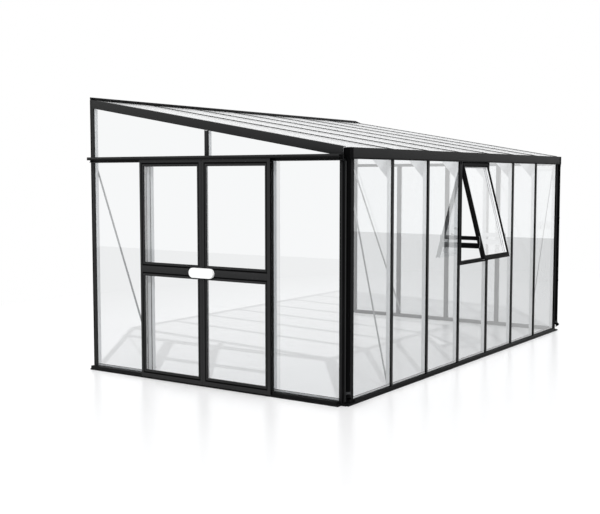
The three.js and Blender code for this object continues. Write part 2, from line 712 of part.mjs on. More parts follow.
function addLeaf(side, start, end) {
  const shape = leafOutline(start, end);
  const wheelPlaces = [start + wheelInset, end - wheelInset];
  const front = alongX(outline(shape.outer, [shape.low, shape.high]), -leafFront, leafSkin - leafFront);
  const back = alongX(outline(shape.outer, [shape.whole]), leafSkin - leafFront - glassPlay, -leafBack);
  const axles = wheelPlaces.map((y) => new THREE.CylinderGeometry(
    axleRadius, axleRadius, 2 * (wheelWidth + axleProud), wheelSides)
    .rotateZ(Math.PI / 2).translate(-leafBack, y, wheelCentreZ));
  addPiece(`${side}_door_frame`, join(front, back, ...axles), paint);
  const glassFront = leafSkin - leafFront + glassPlay;
  const [[y0, z0], , [y1, z1]] = shape.whole;
  addPiece(`${side}_door_glass`, alongX(outline(
    rectangle(y0 + glassPlay, z0 + glassPlay, y1 - glassPlay, z1 - glassPlay)),
  glassFront, glassFront + glassThickness), clear);
  wheelPlaces.forEach((y, index) => {
    const bore = axleRadius + axlePlay;
    const rim = [[bore, 0], [wheelRadius, 0], [wheelRadius, wheelWidth], [bore, wheelWidth], [bore, 0]];
    const wheel = new THREE.LatheGeometry(rim.map(([r, h]) => new THREE.Vector2(r, h)), wheelSides);
    const mesh = addPiece(`${side}_door_wheel_${index + 1}`, wheel, nylon);
    mesh.rotation.z = -Math.PI / 2;
    mesh.position.set(axlePlay - leafBack, y, wheelCentreZ);
  });
}
const leafEdge = leafPlay / 2;
addLeaf('left', middleLine + leafEdge, middleLine + leafEdge + leafWidth);
addLeaf('right', middleLine - leafEdge - leafWidth, middleLine - leafEdge);

// Handle: one rounded pull that the meeting line splits, half on each leaf
function handleHalf(direction) {
  const radius = handleHeight / 2;
  const straight = handleLength - radius;
  const shape = new THREE.Shape();
  shape.moveTo(leafEdge, -radius);
  shape.lineTo(straight, -radius);
  shape.absarc(straight, 0, radius, -Math.PI / 2, Math.PI / 2, false);
  shape.lineTo(leafEdge, radius);
  shape.closePath();
  const points = shape.getPoints(handleSteps).map(({ x, y }) => [
    middleLine + direction * x, handleCentre + y]);
  const front = -leafFront - seat - handleThickness;
  return alongX(outline(points.slice(0, -1)), front, front + handleThickness);
}
addPiece('left_door_handle', handleHalf(1), whitePlastic);
addPiece('right_door_handle', handleHalf(-1), whitePlastic);

// Top-hung window, built shut about its hinge line and turned open
addPiece('window_transom', wallRail(walls.eave, [
  [0, transomBottom], [glassSet - glassPlay, transomBottom],
  [glassSet - glassPlay, transomBottom + grooveBite], [glassBack + glassPlay, transomBottom + grooveBite],
  [glassBack + glassPlay, transomBottom], [frameDepth, transomBottom],
  [frameDepth, transomTop], [-surroundProud, transomTop],
  [-surroundProud, transomTop - surroundWidth], [0, transomTop - surroundWidth],
], bayLeft + seat, bayRight - seat), paint);

const casementLeft = bayLeft + casementGap;
const casementRight = bayRight - casementGap;
const casement = new THREE.Group();
casement.position.copy(hinge);
casement.rotation.copy(opened);
greenhouse.add(casement);

const sashOuter = rectangle(casementLeft, -casementDrop, casementRight, 0);
const lightLeft = casementLeft + casementStile;
const lightRight = casementRight - casementStile;
const lightBottom = casementRail - casementDrop;
const sashLight = rectangle(lightLeft, lightBottom, lightRight, -casementTopRail);
const sashRebate = rectangle(lightLeft - rebate, lightBottom - rebate,
  lightRight + rebate, rebate - casementTopRail);
const hingeRound = new THREE.CylinderGeometry(
  hingeRadius, hingeRadius, casementRight - casementLeft, hingeSides)
  .rotateZ(Math.PI / 2).translate((casementLeft + casementRight) / 2, 0, 0);
addPiece('window_frame', join(
  alongY(outline(sashOuter, [sashLight]), -hingeRadius - casementProud, casementSkin - hingeRadius),
  alongY(outline(sashOuter, [sashRebate]), casementSkin - hingeRadius - glassPlay, hingeRadius),
  hingeRound), paint, casement);
const sashGlassFront = casementSkin - hingeRadius + glassPlay;
addPiece('window_glass', alongY(outline(rectangle(
  lightLeft - rebate + glassPlay, lightBottom - rebate + glassPlay,
  lightRight + rebate - glassPlay, rebate - casementTopRail - glassPlay)),
sashGlassFront, sashGlassFront + glassThickness), clear, casement);

// Stays: a slotted plate in the gap beside each casement stile, pivoted on the stile's edge
const stayHeight = stayTopBar + staySlot + stayBottomBar;
function stayPlate(start) {
  const bottom = stayPivot.z - stayBottomBar - staySlot / 2;
  const front = stayPivot.y - stayPivotBack;
  const back = stayPivot.y + stayTail;
  const plate = rectangle(front, bottom, back, bottom + stayHeight);
  const slot = rectangle(front + stayTopBar, bottom + stayBottomBar,
    back - stayTopBar / 2, bottom + stayBottomBar + staySlot);
  return alongX(outline(plate, [slot]), start, start + stayThickness);
}
const stayPlay = casementGap - seat - stayThickness;
addPiece('left_window_stay', stayPlate(bayLeft + stayPlay), paint);
addPiece('right_window_stay', stayPlate(bayRight - stayPlay - stayThickness), paint);

// The origin is the middle of the footprint, on the floor
const extent = new THREE.Box3().setFromObject(greenhouse, true);
const middle = extent.getCenter(new THREE.Vector3());
greenhouse.position.set(-middle.x, -middle.y, -extent.min.z);

export default greenhouse;
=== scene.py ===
"""A lean-to greenhouse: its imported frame, dressed with the parts and finishes of the real one.

The house's own axes are used throughout, in millimetres: x runs along the eave from the door
gable, y from the eave wall to the open back, and z is height. Every place is taken from the
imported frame, so that each part sits where the frame carries it.
"""
from __future__ import annotations

import json
import logging
import math
from dataclasses import dataclass, replace
from enum import Enum
from typing import Callable, Sequence

import bmesh
import bpy
from mathutils import Matrix, Vector

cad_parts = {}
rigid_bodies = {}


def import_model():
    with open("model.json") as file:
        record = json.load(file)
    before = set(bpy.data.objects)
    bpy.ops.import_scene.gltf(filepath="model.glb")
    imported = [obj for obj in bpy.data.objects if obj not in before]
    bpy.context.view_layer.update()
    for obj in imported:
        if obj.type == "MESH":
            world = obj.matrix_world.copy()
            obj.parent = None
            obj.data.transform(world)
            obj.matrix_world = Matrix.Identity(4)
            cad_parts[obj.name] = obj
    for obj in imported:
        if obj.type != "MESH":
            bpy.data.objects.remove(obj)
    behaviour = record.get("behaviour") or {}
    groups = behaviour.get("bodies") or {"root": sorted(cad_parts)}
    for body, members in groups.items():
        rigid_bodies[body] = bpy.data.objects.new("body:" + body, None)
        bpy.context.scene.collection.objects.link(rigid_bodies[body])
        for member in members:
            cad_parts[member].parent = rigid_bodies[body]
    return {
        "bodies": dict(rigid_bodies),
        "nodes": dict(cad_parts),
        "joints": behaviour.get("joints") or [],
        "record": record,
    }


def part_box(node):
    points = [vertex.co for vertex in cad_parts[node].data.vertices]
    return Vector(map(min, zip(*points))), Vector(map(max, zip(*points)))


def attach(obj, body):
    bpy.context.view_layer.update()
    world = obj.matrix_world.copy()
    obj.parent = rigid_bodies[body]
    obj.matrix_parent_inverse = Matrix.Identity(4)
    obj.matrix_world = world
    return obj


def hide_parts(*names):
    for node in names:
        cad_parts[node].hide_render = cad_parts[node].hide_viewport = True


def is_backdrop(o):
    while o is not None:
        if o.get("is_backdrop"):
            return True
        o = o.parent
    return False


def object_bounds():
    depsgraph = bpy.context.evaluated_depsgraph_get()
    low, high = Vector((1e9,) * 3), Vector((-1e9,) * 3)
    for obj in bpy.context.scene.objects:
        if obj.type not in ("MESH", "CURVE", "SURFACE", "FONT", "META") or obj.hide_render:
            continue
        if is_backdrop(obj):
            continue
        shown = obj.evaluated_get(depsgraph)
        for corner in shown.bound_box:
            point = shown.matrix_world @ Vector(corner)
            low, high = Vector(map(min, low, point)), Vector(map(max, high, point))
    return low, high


LOG = logging.getLogger("greenhouse")
METRES = 0.001

Colour = tuple[float, float, float]
Point2 = tuple[float, float]
Point3 = tuple[float, float, float]
Corner, Edge, Face = bmesh.types.BMVert, bmesh.types.BMEdge, bmesh.types.BMFace
Socket = bpy.types.NodeSocket


def pairs(outline: Sequence) -> list[tuple]:
    """Each item of a closed run with the one after it."""
    return [(item, outline[(index + 1) % len(outline)]) for index, item in enumerate(outline)]


def rectangle(left: float, low: float, right: float, high: float) -> list[Point2]:
    """The four corners of an upright rectangle."""
    return [(left, low), (right, low), (right, high), (left, high)]


# ---------------------------------------------------------------- the frame


@dataclass(frozen=True)
class Box:
    """The lowest and highest corner of something, in the house's axes."""

    low: Vector
    high: Vector

    @property
    def middle(self) -> Vector:
        """The point halfway between the corners."""
        return (self.low + self.high) / 2


class House:
    """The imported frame: where it stands, and the lines that the parts are set out from."""

    eave_top = 2181.0
    pitch = math.tan(math.radians(9.8))
    gutter_front = 20.0
    bays = 7
    window_bay = 3
    frame_depth = 55.0
    glass_set = 8.0
    glass_thickness = 4.0
    inner_from = 12.6

    def __init__(self, frame: dict) -> None:
        """Reads the frame.
        """
        self.nodes: dict[str, bpy.types.Object] = frame["nodes"]
        self.joints: dict[str, dict] = {joint["name"]: joint for joint in frame["joints"]}
        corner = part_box("near_corner_post")[0]
        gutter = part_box("eave_gutter")[0]
        self.origin = Vector((corner.x, gutter.y + self.gutter_front * METRES, 0.0))
        self.length = self.box("far_corner_post").high.x
        self.depth = self.box("wall_bar").high.y
        self.lines = [self.box(f"roof_bar_{bar}").middle.x for bar in range(1, self.bays)]

    def box(self, node: str) -> Box:
        """The corners of a frame node."""
        low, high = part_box(node)
        return Box((low - self.origin) / METRES, (high - self.origin) / METRES)

    def slope(self) -> Matrix:
        """Lays a level shape on the roof's slope.

        Returns:
            The shear, as a matrix.
        """
        slide = Matrix.Identity(4)
        slide[2][1], slide[2][3] = self.pitch, self.eave_top
        return slide

    @staticmethod
    def centre(node: str) -> Vector:
        """The middle of a node, in the frame's metres."""
        low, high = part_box(node)
        return (low + high) / 2

    def point(self, place: Sequence[float]) -> Vector:
        """A point given in the frame's metres, in the house's axes."""
        return (Vector(place) - self.origin) / METRES

    @property
    def to_frame(self) -> Matrix:
        """The matrix from the house's axes to the frame's metres."""
        return Matrix.Translation(self.origin) @ Matrix.Scale(METRES, 4)

    def roof(self, y: float) -> float:
        """The height of the roof plane.

        Args:
            y: the distance in from the eave face.

        Returns:
            The plane's height there.
        """
        return self.eave_top + y * self.pitch


# ---------------------------------------------------------------- shader sums


class Value:
    """A number that varies over a surface, with the sums that the finishes need."""

    def __init__(self, graph: "Graph", socket: Socket) -> None:
        """Wraps an output socket of a node tree."""
        self.graph = graph
        self.socket = socket

    def _math(self, operation: str, first: object, second: object) -> "Value":
        """Adds one Math node and returns its result."""
        return self.graph.math(operation, first, second)

    def __add__(self, other: object) -> "Value":
        """The sum."""
        return self._math("ADD", self, other)

    __radd__ = __add__

    def __sub__(self, other: object) -> "Value":
        """The difference."""
        return self._math("SUBTRACT", self, other)

    def __rsub__(self, other: object) -> "Value":
        """The difference, from a plain number."""
        return self._math("SUBTRACT", other, self)

    def __mul__(self, other: object) -> "Value":
        """The product."""
        return self._math("MULTIPLY", self, other)

    __rmul__ = __mul__

    def __truediv__(self, other: object) -> "Value":
        """The quotient."""
        return self._math("DIVIDE", self, other)

    def above(self, limit: object) -> "Value":
        """One where the value is over the limit, and zero elsewhere."""
        return self._math("GREATER_THAN", self, limit)

    def below(self, limit: object) -> "Value":
        """One where the value is under the limit, and zero elsewhere."""
        return self._math("LESS_THAN", self, limit)

    def most(self, other: object) -> "Value":
        """The larger of two values."""
        return self._math("MAXIMUM", self, other)

    def least(self, other: object) -> "Value":
        """The smaller of two values."""
        return self._math("MINIMUM", self, other)

    def cycle(self, pitch: float) -> "Value":
        """A saw from zero to one that repeats at the pitch."""
        return self._math("FRACT", self * (1.0 / pitch), 0.0)

    def power(self, exponent: float) -> "Value":
        """The value raised to a power."""
        return self._math("POWER", self, exponent)

    def held(self) -> "Value":
        """The value kept between zero and one."""
        return self.most(0.0).least(1.0)


class Graph:
    """A node tree under construction. Every node of it is added by node()."""

    def __init__(self, tree: bpy.types.NodeTree) -> None:
        """Clears the tree."""
        self.tree = tree
        tree.nodes.clear()

    def node(self, kind: str, settings: dict | None = None,
             sockets: dict | None = None) -> bpy.types.Node:
        """Adds a node.

        Args:
            kind: the node's type.
            settings: its properties, which are set before its sockets.
            sockets: values or links for its sockets, by identifier or name.

        Returns:
            The node.
        """
        made = self.tree.nodes.new(kind)
        for key, value in (settings or {}).items():
            setattr(made, key, value)
        for key, value in (sockets or {}).items():
            target = self._socket(made, key)
            if isinstance(value, Value):
                value = value.socket
            if isinstance(value, Socket):
                self.tree.links.new(value, target)
            else:
                target.default_value = value
        return made

    @staticmethod
    def _socket(node: bpy.types.Node, key: str | int) -> Socket:
        """Finds an input by number, identifier or name.

        Args:
            node: the node that has the input.
            key: its number, identifier or name.

        Returns:
            The input.
        """
        if isinstance(key, int):
            return node.inputs[key]
        for socket in node.inputs:
            if socket.identifier == key:
                return socket
        return node.inputs[key]

    def math(self, operation: str, first: object, second: object) -> Value:
        """One sum of two values or numbers."""
        made = self.node("ShaderNodeMath", {"operation": operation}, {0: first, 1: second})
        return Value(self, made.outputs[0])

    def place(self) -> Socket:
        """The surface point, in the frame's metres."""
        return self.node("ShaderNodeTexCoord").outputs["Object"]

    def axes(self) -> tuple[Value, Value, Value]:
        """The surface point's x, y and z, in the frame's metres."""
        split = self.node("ShaderNodeSeparateXYZ", None, {"Vector": self.place()})
        return tuple(Value(self, split.outputs[axis]) for axis in "XYZ")

    def noise(self, scale: float, detail: float = 2.0, stretch: Point3 = (1.0, 1.0, 1.0)) -> Value:
        """A cloudy value from zero to one.

        Args:
            scale: blotches in a metre.
            detail: how many finer layers are added.
            stretch: how much each axis is packed, to draw the blotches out along an axis.

        Returns:
            The value.
        """
        mapped = self.node("ShaderNodeMapping", {"vector_type": "POINT"},
                           {"Vector": self.place(), "Scale": stretch})
        made = self.node("ShaderNodeTexNoise", {"noise_dimensions": "3D"},
                         {"Vector": mapped.outputs[0], "Scale": scale, "Detail": detail})
        return Value(self, made.outputs["Fac"])

    def blend(self, first: object, second: object, share: object) -> Socket:
        """A colour between two, by a share from zero to one.

        Args:
            first: the colour at zero, or a link to one.
            second: the colour at one, or a link to one.
            share: how far it is from the first to the second.

        Returns:
            The blended colour.
        """
        def colour(value: object) -> object:
            """A plain colour with its alpha, or the socket itself."""
            return (*value, 1.0) if isinstance(value, tuple) else value

        made = self.node("ShaderNodeMix", {"data_type": "RGBA"}, {
            "Factor_Float": share, "A_Color": colour(first), "B_Color": colour(second)})
        return next(socket for socket in made.outputs if socket.identifier == "Result_Color")

    def bump(self, height: object, strength: float, distance: float) -> Socket:
        """A normal roughened by a height."""
        return self.node("ShaderNodeBump", None, {
            "Height": height, "Strength": strength, "Distance": distance}).outputs[0]

    def mix(self, share: object, first: Socket,
            second: Socket) -> Socket:
        """A shader between two, by a share from zero to one."""
        return self.node("ShaderNodeMixShader", None, {0: share, 1: first, 2: second}).outputs[0]

    def output(self, shader: Socket, kind: str = "ShaderNodeOutputMaterial") -> None:
        """Ends the tree in a shader."""
        self.node(kind, None, {"Surface": shader})


# ---------------------------------------------------------------- finishes


class Inner(Enum):
    """Which part of a bar lies behind the glass line, where the metal is left bare."""

    NONE = "none"
    EAVE = "behind the eave glass"
    DOOR_GABLE = "behind the door gable's glass"
    FAR_GABLE = "behind the far gable's glass"
    NEAR_CORNER = "behind both sheets at the near corner"
    FAR_CORNER = "behind both sheets at the far corner"
    UNDER_SHEET = "under the roof sheets"
    NEAR_RAFTER = "under the roof sheets, behind the door gable's glass"
    FAR_RAFTER = "under the roof sheets, behind the far gable's glass"
    WINDOW_POST = "behind the eave glass, or inside the window's bay"
    SASH = "behind the glass of the open window"
    LEFT_STAY = "the side of the left plate that faces its twin"
    RIGHT_STAY = "the side of the right plate that faces its twin"
    LEAF_BACK = "the back of a door leaf"
    GUTTER_BACK = "the gutter's back"


LEAF_LINE = 0.0590
GUTTER_LINE = 0.0385
NOTCH_X, NOTCH_Y = 0.0605, 0.025
POST_HALF = 0.0164
SASH_SIDE = 0.014


@dataclass(frozen=True)
class GlassLines:
    """The planes, in the frame's metres, that part a bar's painted face from its bare inside."""

    eave: float
    door_gable: float
    far_gable: float
    leaf: float
    gutter: float
    roof_start: float
    roof_rise: float
    roof_pitch: float
    notch_x: float
    notch_y: float
    far_notch_x: float
    bay_start: float
    bay_end: float
    sash_pivot: Point3
    sash_start: float
    sash_end: float
    left_stay: float
    right_stay: float
    under_sheet: float = 0.0045
    sash_depth: float = -0.019
    sash_top: float = -0.040
    opened: float = math.radians(15.0)

    @classmethod
    def of(cls, house: House) -> "GlassLines":
        """The planes of a house.

        Args:
            house: the house.

        Returns:
            Its planes.
        """
        inner = house.inner_from * METRES
        return cls(
            eave=house.origin.y + inner,
            door_gable=house.origin.x + inner,
            far_gable=house.origin.x + house.length * METRES - inner,
            leaf=house.origin.x - LEAF_LINE,
            gutter=house.origin.y + GUTTER_LINE,
            roof_start=house.origin.y,
            roof_rise=house.eave_top * METRES,
            roof_pitch=house.pitch,
            notch_x=house.origin.x + NOTCH_X,
            notch_y=house.origin.y + NOTCH_Y,
            far_notch_x=house.origin.x + house.length * METRES - NOTCH_X,
            bay_start=house.centre("front_post_3").x + POST_HALF,
            bay_end=house.centre("front_post_4").x - POST_HALF,
            sash_pivot=tuple(house.joints["window_hinge"]["pos_m"]),
            sash_start=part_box("window_frame")[0].x + SASH_SIDE,
            sash_end=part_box("window_frame")[1].x - SASH_SIDE,
            left_stay=house.centre("left_window_stay").x,
            right_stay=house.centre("right_window_stay").x)

    def share(self, graph: Graph, inner: Inner) -> Value:
        """One on the bare side of a bar and zero on its painted side.

        Args:
            graph: the tree to build in.
            inner: which bars these are.

        Returns:
            The share of bare metal.
        """
        x, y, z = graph.axes()
        drop = (y - self.roof_start) * self.roof_pitch + self.roof_rise - z

        def sash() -> Value:
            """Behind the window's glass and between its outer sides, wherever it is turned.

            Returns:
                One there and zero elsewhere.
            """
            depth = ((y - self.sash_pivot[1]) * math.cos(self.opened)
                     - (z - self.sash_pivot[2]) * math.sin(self.opened))
            within = x.above(self.sash_start).least(x.below(self.sash_end))
            rise = ((y - self.sash_pivot[1]) * math.sin(self.opened)
                    + (z - self.sash_pivot[2]) * math.cos(self.opened))
            return depth.above(self.sash_depth).least(within).least(rise.below(self.sash_top))

        parts: dict[Inner, Callable[[], Value]] = {
            Inner.EAVE: lambda: y.above(self.eave),
            Inner.WINDOW_POST: lambda: y.above(self.eave).most(
                x.above(self.bay_start).least(x.below(self.bay_end))),
            Inner.SASH: sash,
            Inner.LEFT_STAY: lambda: x.above(self.left_stay),
            Inner.RIGHT_STAY: lambda: x.below(self.right_stay),
            Inner.DOOR_GABLE: lambda: x.above(self.door_gable),
            Inner.FAR_GABLE: lambda: x.below(self.far_gable),
            Inner.NEAR_CORNER: lambda: y.above(self.eave).least(x.above(self.door_gable)).least(
                y.above(self.notch_y).most(x.above(self.notch_x))),
            Inner.FAR_CORNER: lambda: y.above(self.eave).least(x.below(self.far_gable)).least(
                y.above(self.notch_y).most(x.below(self.far_notch_x))),
            Inner.UNDER_SHEET: lambda: drop.above(self.under_sheet),
            Inner.NEAR_RAFTER: lambda: drop.above(self.under_sheet).least(x.above(self.door_gable)),
            Inner.FAR_RAFTER: lambda: drop.above(self.under_sheet).least(x.below(self.far_gable)),
            Inner.LEAF_BACK: lambda: x.above(self.leaf),
            Inner.GUTTER_BACK: lambda: y.above(self.gutter),
        }
        return parts[inner]()


@dataclass(frozen=True)
class Finish:
    """A surface finish, and the record's slot that it belongs to."""

    name: str
    slot: str | None = None

    def material(self) -> bpy.types.Material:
        """The finish's material, made the first time that it is asked for.

        Returns:
            The material.
        """
        made = bpy.data.materials.get(self.name)
        if made is None:
            made = bpy.data.materials.new(self.name)
            made.use_nodes = True
            graph = Graph(made.node_tree)
            graph.output(self.shader(graph))
        return made

    def shader(self, graph: Graph) -> Socket:
        """Builds the finish in a node tree."""
        raise NotImplementedError

    @staticmethod
    def principled(graph: Graph, sockets: dict) -> Socket:
        """A principled shader with these sockets."""
        return graph.node("ShaderNodeBsdfPrincipled", None, sockets).outputs[0]


@dataclass(frozen=True)
class PowderCoat(Finish):
    """Fine-grained powder coat outside, over extrusions that are bare metal inside."""

    lines: GlassLines | None = None
    inner: Inner = Inner.NONE
    paint: Colour = (0.0088, 0.0090, 0.0094)
    light_paint: Colour = (0.0140, 0.0143, 0.0148)
    metal: Colour = (0.66, 0.67, 0.68)
    light_metal: Colour = (0.78, 0.79, 0.80)
    roughness: float = 0.40
    gloss: float = 0.22

    def shader(self, graph: Graph) -> Socket:
        """The two-sided finish: painted, bare, and what parts them.

        Args:
            graph: the tree to build in.

        Returns:
            The finished shader's socket.
        """
        cloud = graph.noise(scale=3.1, detail=3.0)
        grain = graph.noise(scale=620.0)
        drawn = graph.noise(scale=1.4, stretch=(90.0, 90.0, 2.2))
        painted = graph.blend(self.paint, self.light_paint, cloud)
        rough = self.roughness + cloud * 0.10 + grain * 0.06
        if self.inner is Inner.NONE:
            return self.principled(graph, {
                "Base Color": painted, "Roughness": rough, "Specular IOR Level": self.gloss,
                "Normal": graph.bump(grain, strength=0.22, distance=0.0004)})
        share = self.lines.share(graph, self.inner)
        bare = graph.blend(self.metal, self.light_metal, drawn)
        bare_rough = 0.40 + drawn * 0.16
        height = grain * (1.0 - share) * 0.5 + drawn * share * 0.35
        return self.principled(graph, {
            "Base Color": graph.blend(painted, bare, share),
            "Metallic": share * 0.15,
            "Specular IOR Level": self.gloss,
            "Roughness": rough * (1.0 - share) + bare_rough * share,
            "Normal": graph.bump(height, strength=0.25, distance=0.0004)})


@dataclass(frozen=True)
class BareMetal(Finish):
    """Bare metal, drawn along one axis, with the faint lines of the die."""

    colour: Colour = (0.66, 0.67, 0.68)
    light: Colour = (0.80, 0.81, 0.82)
    stretch: Point3 = (90.0, 90.0, 2.0)
    metallic: float = 0.25
    roughness: float = 0.36

    def shader(self, graph: Graph) -> Socket:
        """The drawn metal.

        Args:
            graph: the tree to build in.

        Returns:
            The finished shader's socket.
        """
        drawn = graph.noise(scale=1.6, detail=3.0, stretch=self.stretch)
        cloud = graph.noise(scale=5.0)
        return self.principled(graph, {
            "Base Color": graph.blend(self.colour, self.light, drawn),
            "Metallic": self.metallic,
            "Roughness": self.roughness + drawn * 0.14 + cloud * 0.08,
            "Normal": graph.bump(drawn, strength=0.18, distance=0.0003)})


@dataclass(frozen=True)
class Moulded(Finish):
    """Moulded plastic or rubber with a faint skin texture."""

    colour: Colour = (0.006, 0.006, 0.007)
    light: Colour = (0.012, 0.012, 0.013)
    roughness: float = 0.42
    texture: float = 480.0
    relief: float = 0.12
    coat: float = 0.0
    gloss: float = 0.3

    def shader(self, graph: Graph) -> Socket:
        """The moulded skin.

        Args:
            graph: the tree to build in.

        Returns:
            The finished shader's socket.
        """
        cloud = graph.noise(scale=14.0, detail=3.0)
        skin = graph.noise(scale=self.texture)
        return self.principled(graph, {
            "Base Color": graph.blend(self.colour, self.light, cloud),
            "Roughness": self.roughness + cloud * 0.10 + skin * 0.05,
            "Coat Weight": self.coat,
            "Specular IOR Level": self.gloss,
            "Normal": graph.bump(skin, strength=self.relief, distance=0.0003)})


@dataclass(frozen=True)
class Bristle(Finish):
    """The pile of a brush seal."""

    colour: Colour = (0.008, 0.008, 0.009)
    tip: Colour = (0.030, 0.030, 0.032)

    def shader(self, graph: Graph) -> Socket:
        """Fine dark hairs that run across the strip.

        Args:
            graph: the tree to build in.

        Returns:
            The finished shader's socket.
        """
        hairs = graph.noise(scale=3.0, stretch=(60.0, 300.0, 300.0))
        return self.principled(graph, {
            "Base Color": graph.blend(self.colour, self.tip, hairs),
            "Roughness": 0.85 + hairs * 0.1,
            "Normal": graph.bump(hairs, strength=0.8, distance=0.0012)})


@dataclass(frozen=True)
class ClearGlass(Finish):
    """Clear safety glass: what lies behind it, and a mirror that grows towards grazing."""

    tint: Colour = (0.958, 0.963, 0.966)
    mirror: Colour = (0.975, 0.985, 0.99)
    index: float = 1.5
    layers: float = 4.6

    def shader(self, graph: Graph) -> Socket:
        """Only the face that light enters by mirrors, so that each sheet mirrors once.

        Args:
            graph: the tree to build in.

        Returns:
            The finished shader's socket.
        """
        edge = Value(graph, graph.node("ShaderNodeFresnel", None, {"IOR": self.index}).outputs[0])
        back = Value(graph, graph.node("ShaderNodeNewGeometry").outputs["Backfacing"])
        through = graph.node("ShaderNodeBsdfTransparent", None, {"Color": (*self.tint, 1.0)})
        smear = graph.noise(scale=1.7)
        mirror = self.principled(graph, {
            "Base Color": (*self.mirror, 1.0), "Metallic": 1.0, "Roughness": smear * 0.02})
        share = (1.0 - (1.0 - edge).power(self.layers)) * (1.0 - back)
        return graph.mix(share.held(), through.outputs[0], mirror)


@dataclass(frozen=True)
class TwinWallSheet(Finish):
    """Milky twin-wall roofing, whose inner walls show as fine lines down the slope."""

    colour: Colour = (0.684, 0.693, 0.698)
    light: Colour = (0.810, 0.815, 0.819)
    pitch: float = 0.0105
    wall: float = 0.16
    thin: float = 0.05
    thick: float = 0.62

    def shader(self, graph: Graph) -> Socket:
        """Part milky skin and part see-through, with denser lines at the inner walls.

        Args:
            graph: the tree to build in.

        Returns:
            The finished shader's socket.
        """
        x, _, _ = graph.axes()
        rib = x.cycle(self.pitch).below(self.wall)
        cloud = graph.noise(scale=1.1, detail=3.0)
        grazing = Value(graph, graph.node("ShaderNodeLayerWeight").outputs["Facing"]).power(1.5)
        return self.principled(graph, {
            "Base Color": graph.blend(self.light, self.colour, rib * 0.8),
            "Roughness": 0.16 + cloud * 0.08,
            "Alpha": (self.thin + grazing * self.thick + rib * 0.08).held(),
            "Normal": graph.bump(rib, strength=0.15, distance=0.0004)})


# The corner posts get a darker copy of the powder coat, which is painted shade, and lighter bare
# metal behind the glass, which is painted light on their shaded inner sides.
CORNER_COAT = {
    "paint": (0.0058, 0.0060, 0.0063), "light_paint": (0.0090, 0.0092, 0.0096), "gloss": 0.04,
    "metal": (0.84, 0.845, 0.85), "light_metal": (0.93, 0.935, 0.94)}
STAY_COAT = {
    "paint": (0.0020, 0.0021, 0.0022), "light_paint": (0.0034, 0.0035, 0.0037), "gloss": 0.02}
# What sets the coat of some bars apart from the plain one.
COATS: dict[Inner, dict] = {
    Inner.FAR_GABLE: {"metal": (0.10, 0.102, 0.104), "light_metal": (0.15, 0.152, 0.154)},
    Inner.NEAR_CORNER: CORNER_COAT,
    Inner.FAR_CORNER: CORNER_COAT,
    Inner.UNDER_SHEET: {
        "paint": (0.0012, 0.0013, 0.0014), "light_paint": (0.0024, 0.0025, 0.0026),
        "roughness": 0.5, "gloss": 0.015},
    Inner.GUTTER_BACK: {"gloss": 0.10},
    Inner.LEAF_BACK: {
        "paint": (0.0110, 0.0112, 0.0117), "light_paint": (0.0170, 0.0173, 0.0180),
        "metal": (0.14, 0.142, 0.144), "light_metal": (0.20, 0.202, 0.204)},
    Inner.SASH: {
        "paint": (0.0035, 0.0036, 0.0038), "light_paint": (0.0055, 0.0056, 0.0059), "gloss": 0.03,
        "metal": (0.84, 0.845, 0.85), "light_metal": (0.93, 0.935, 0.94)},
    Inner.LEFT_STAY: STAY_COAT,
    Inner.RIGHT_STAY: STAY_COAT,
}


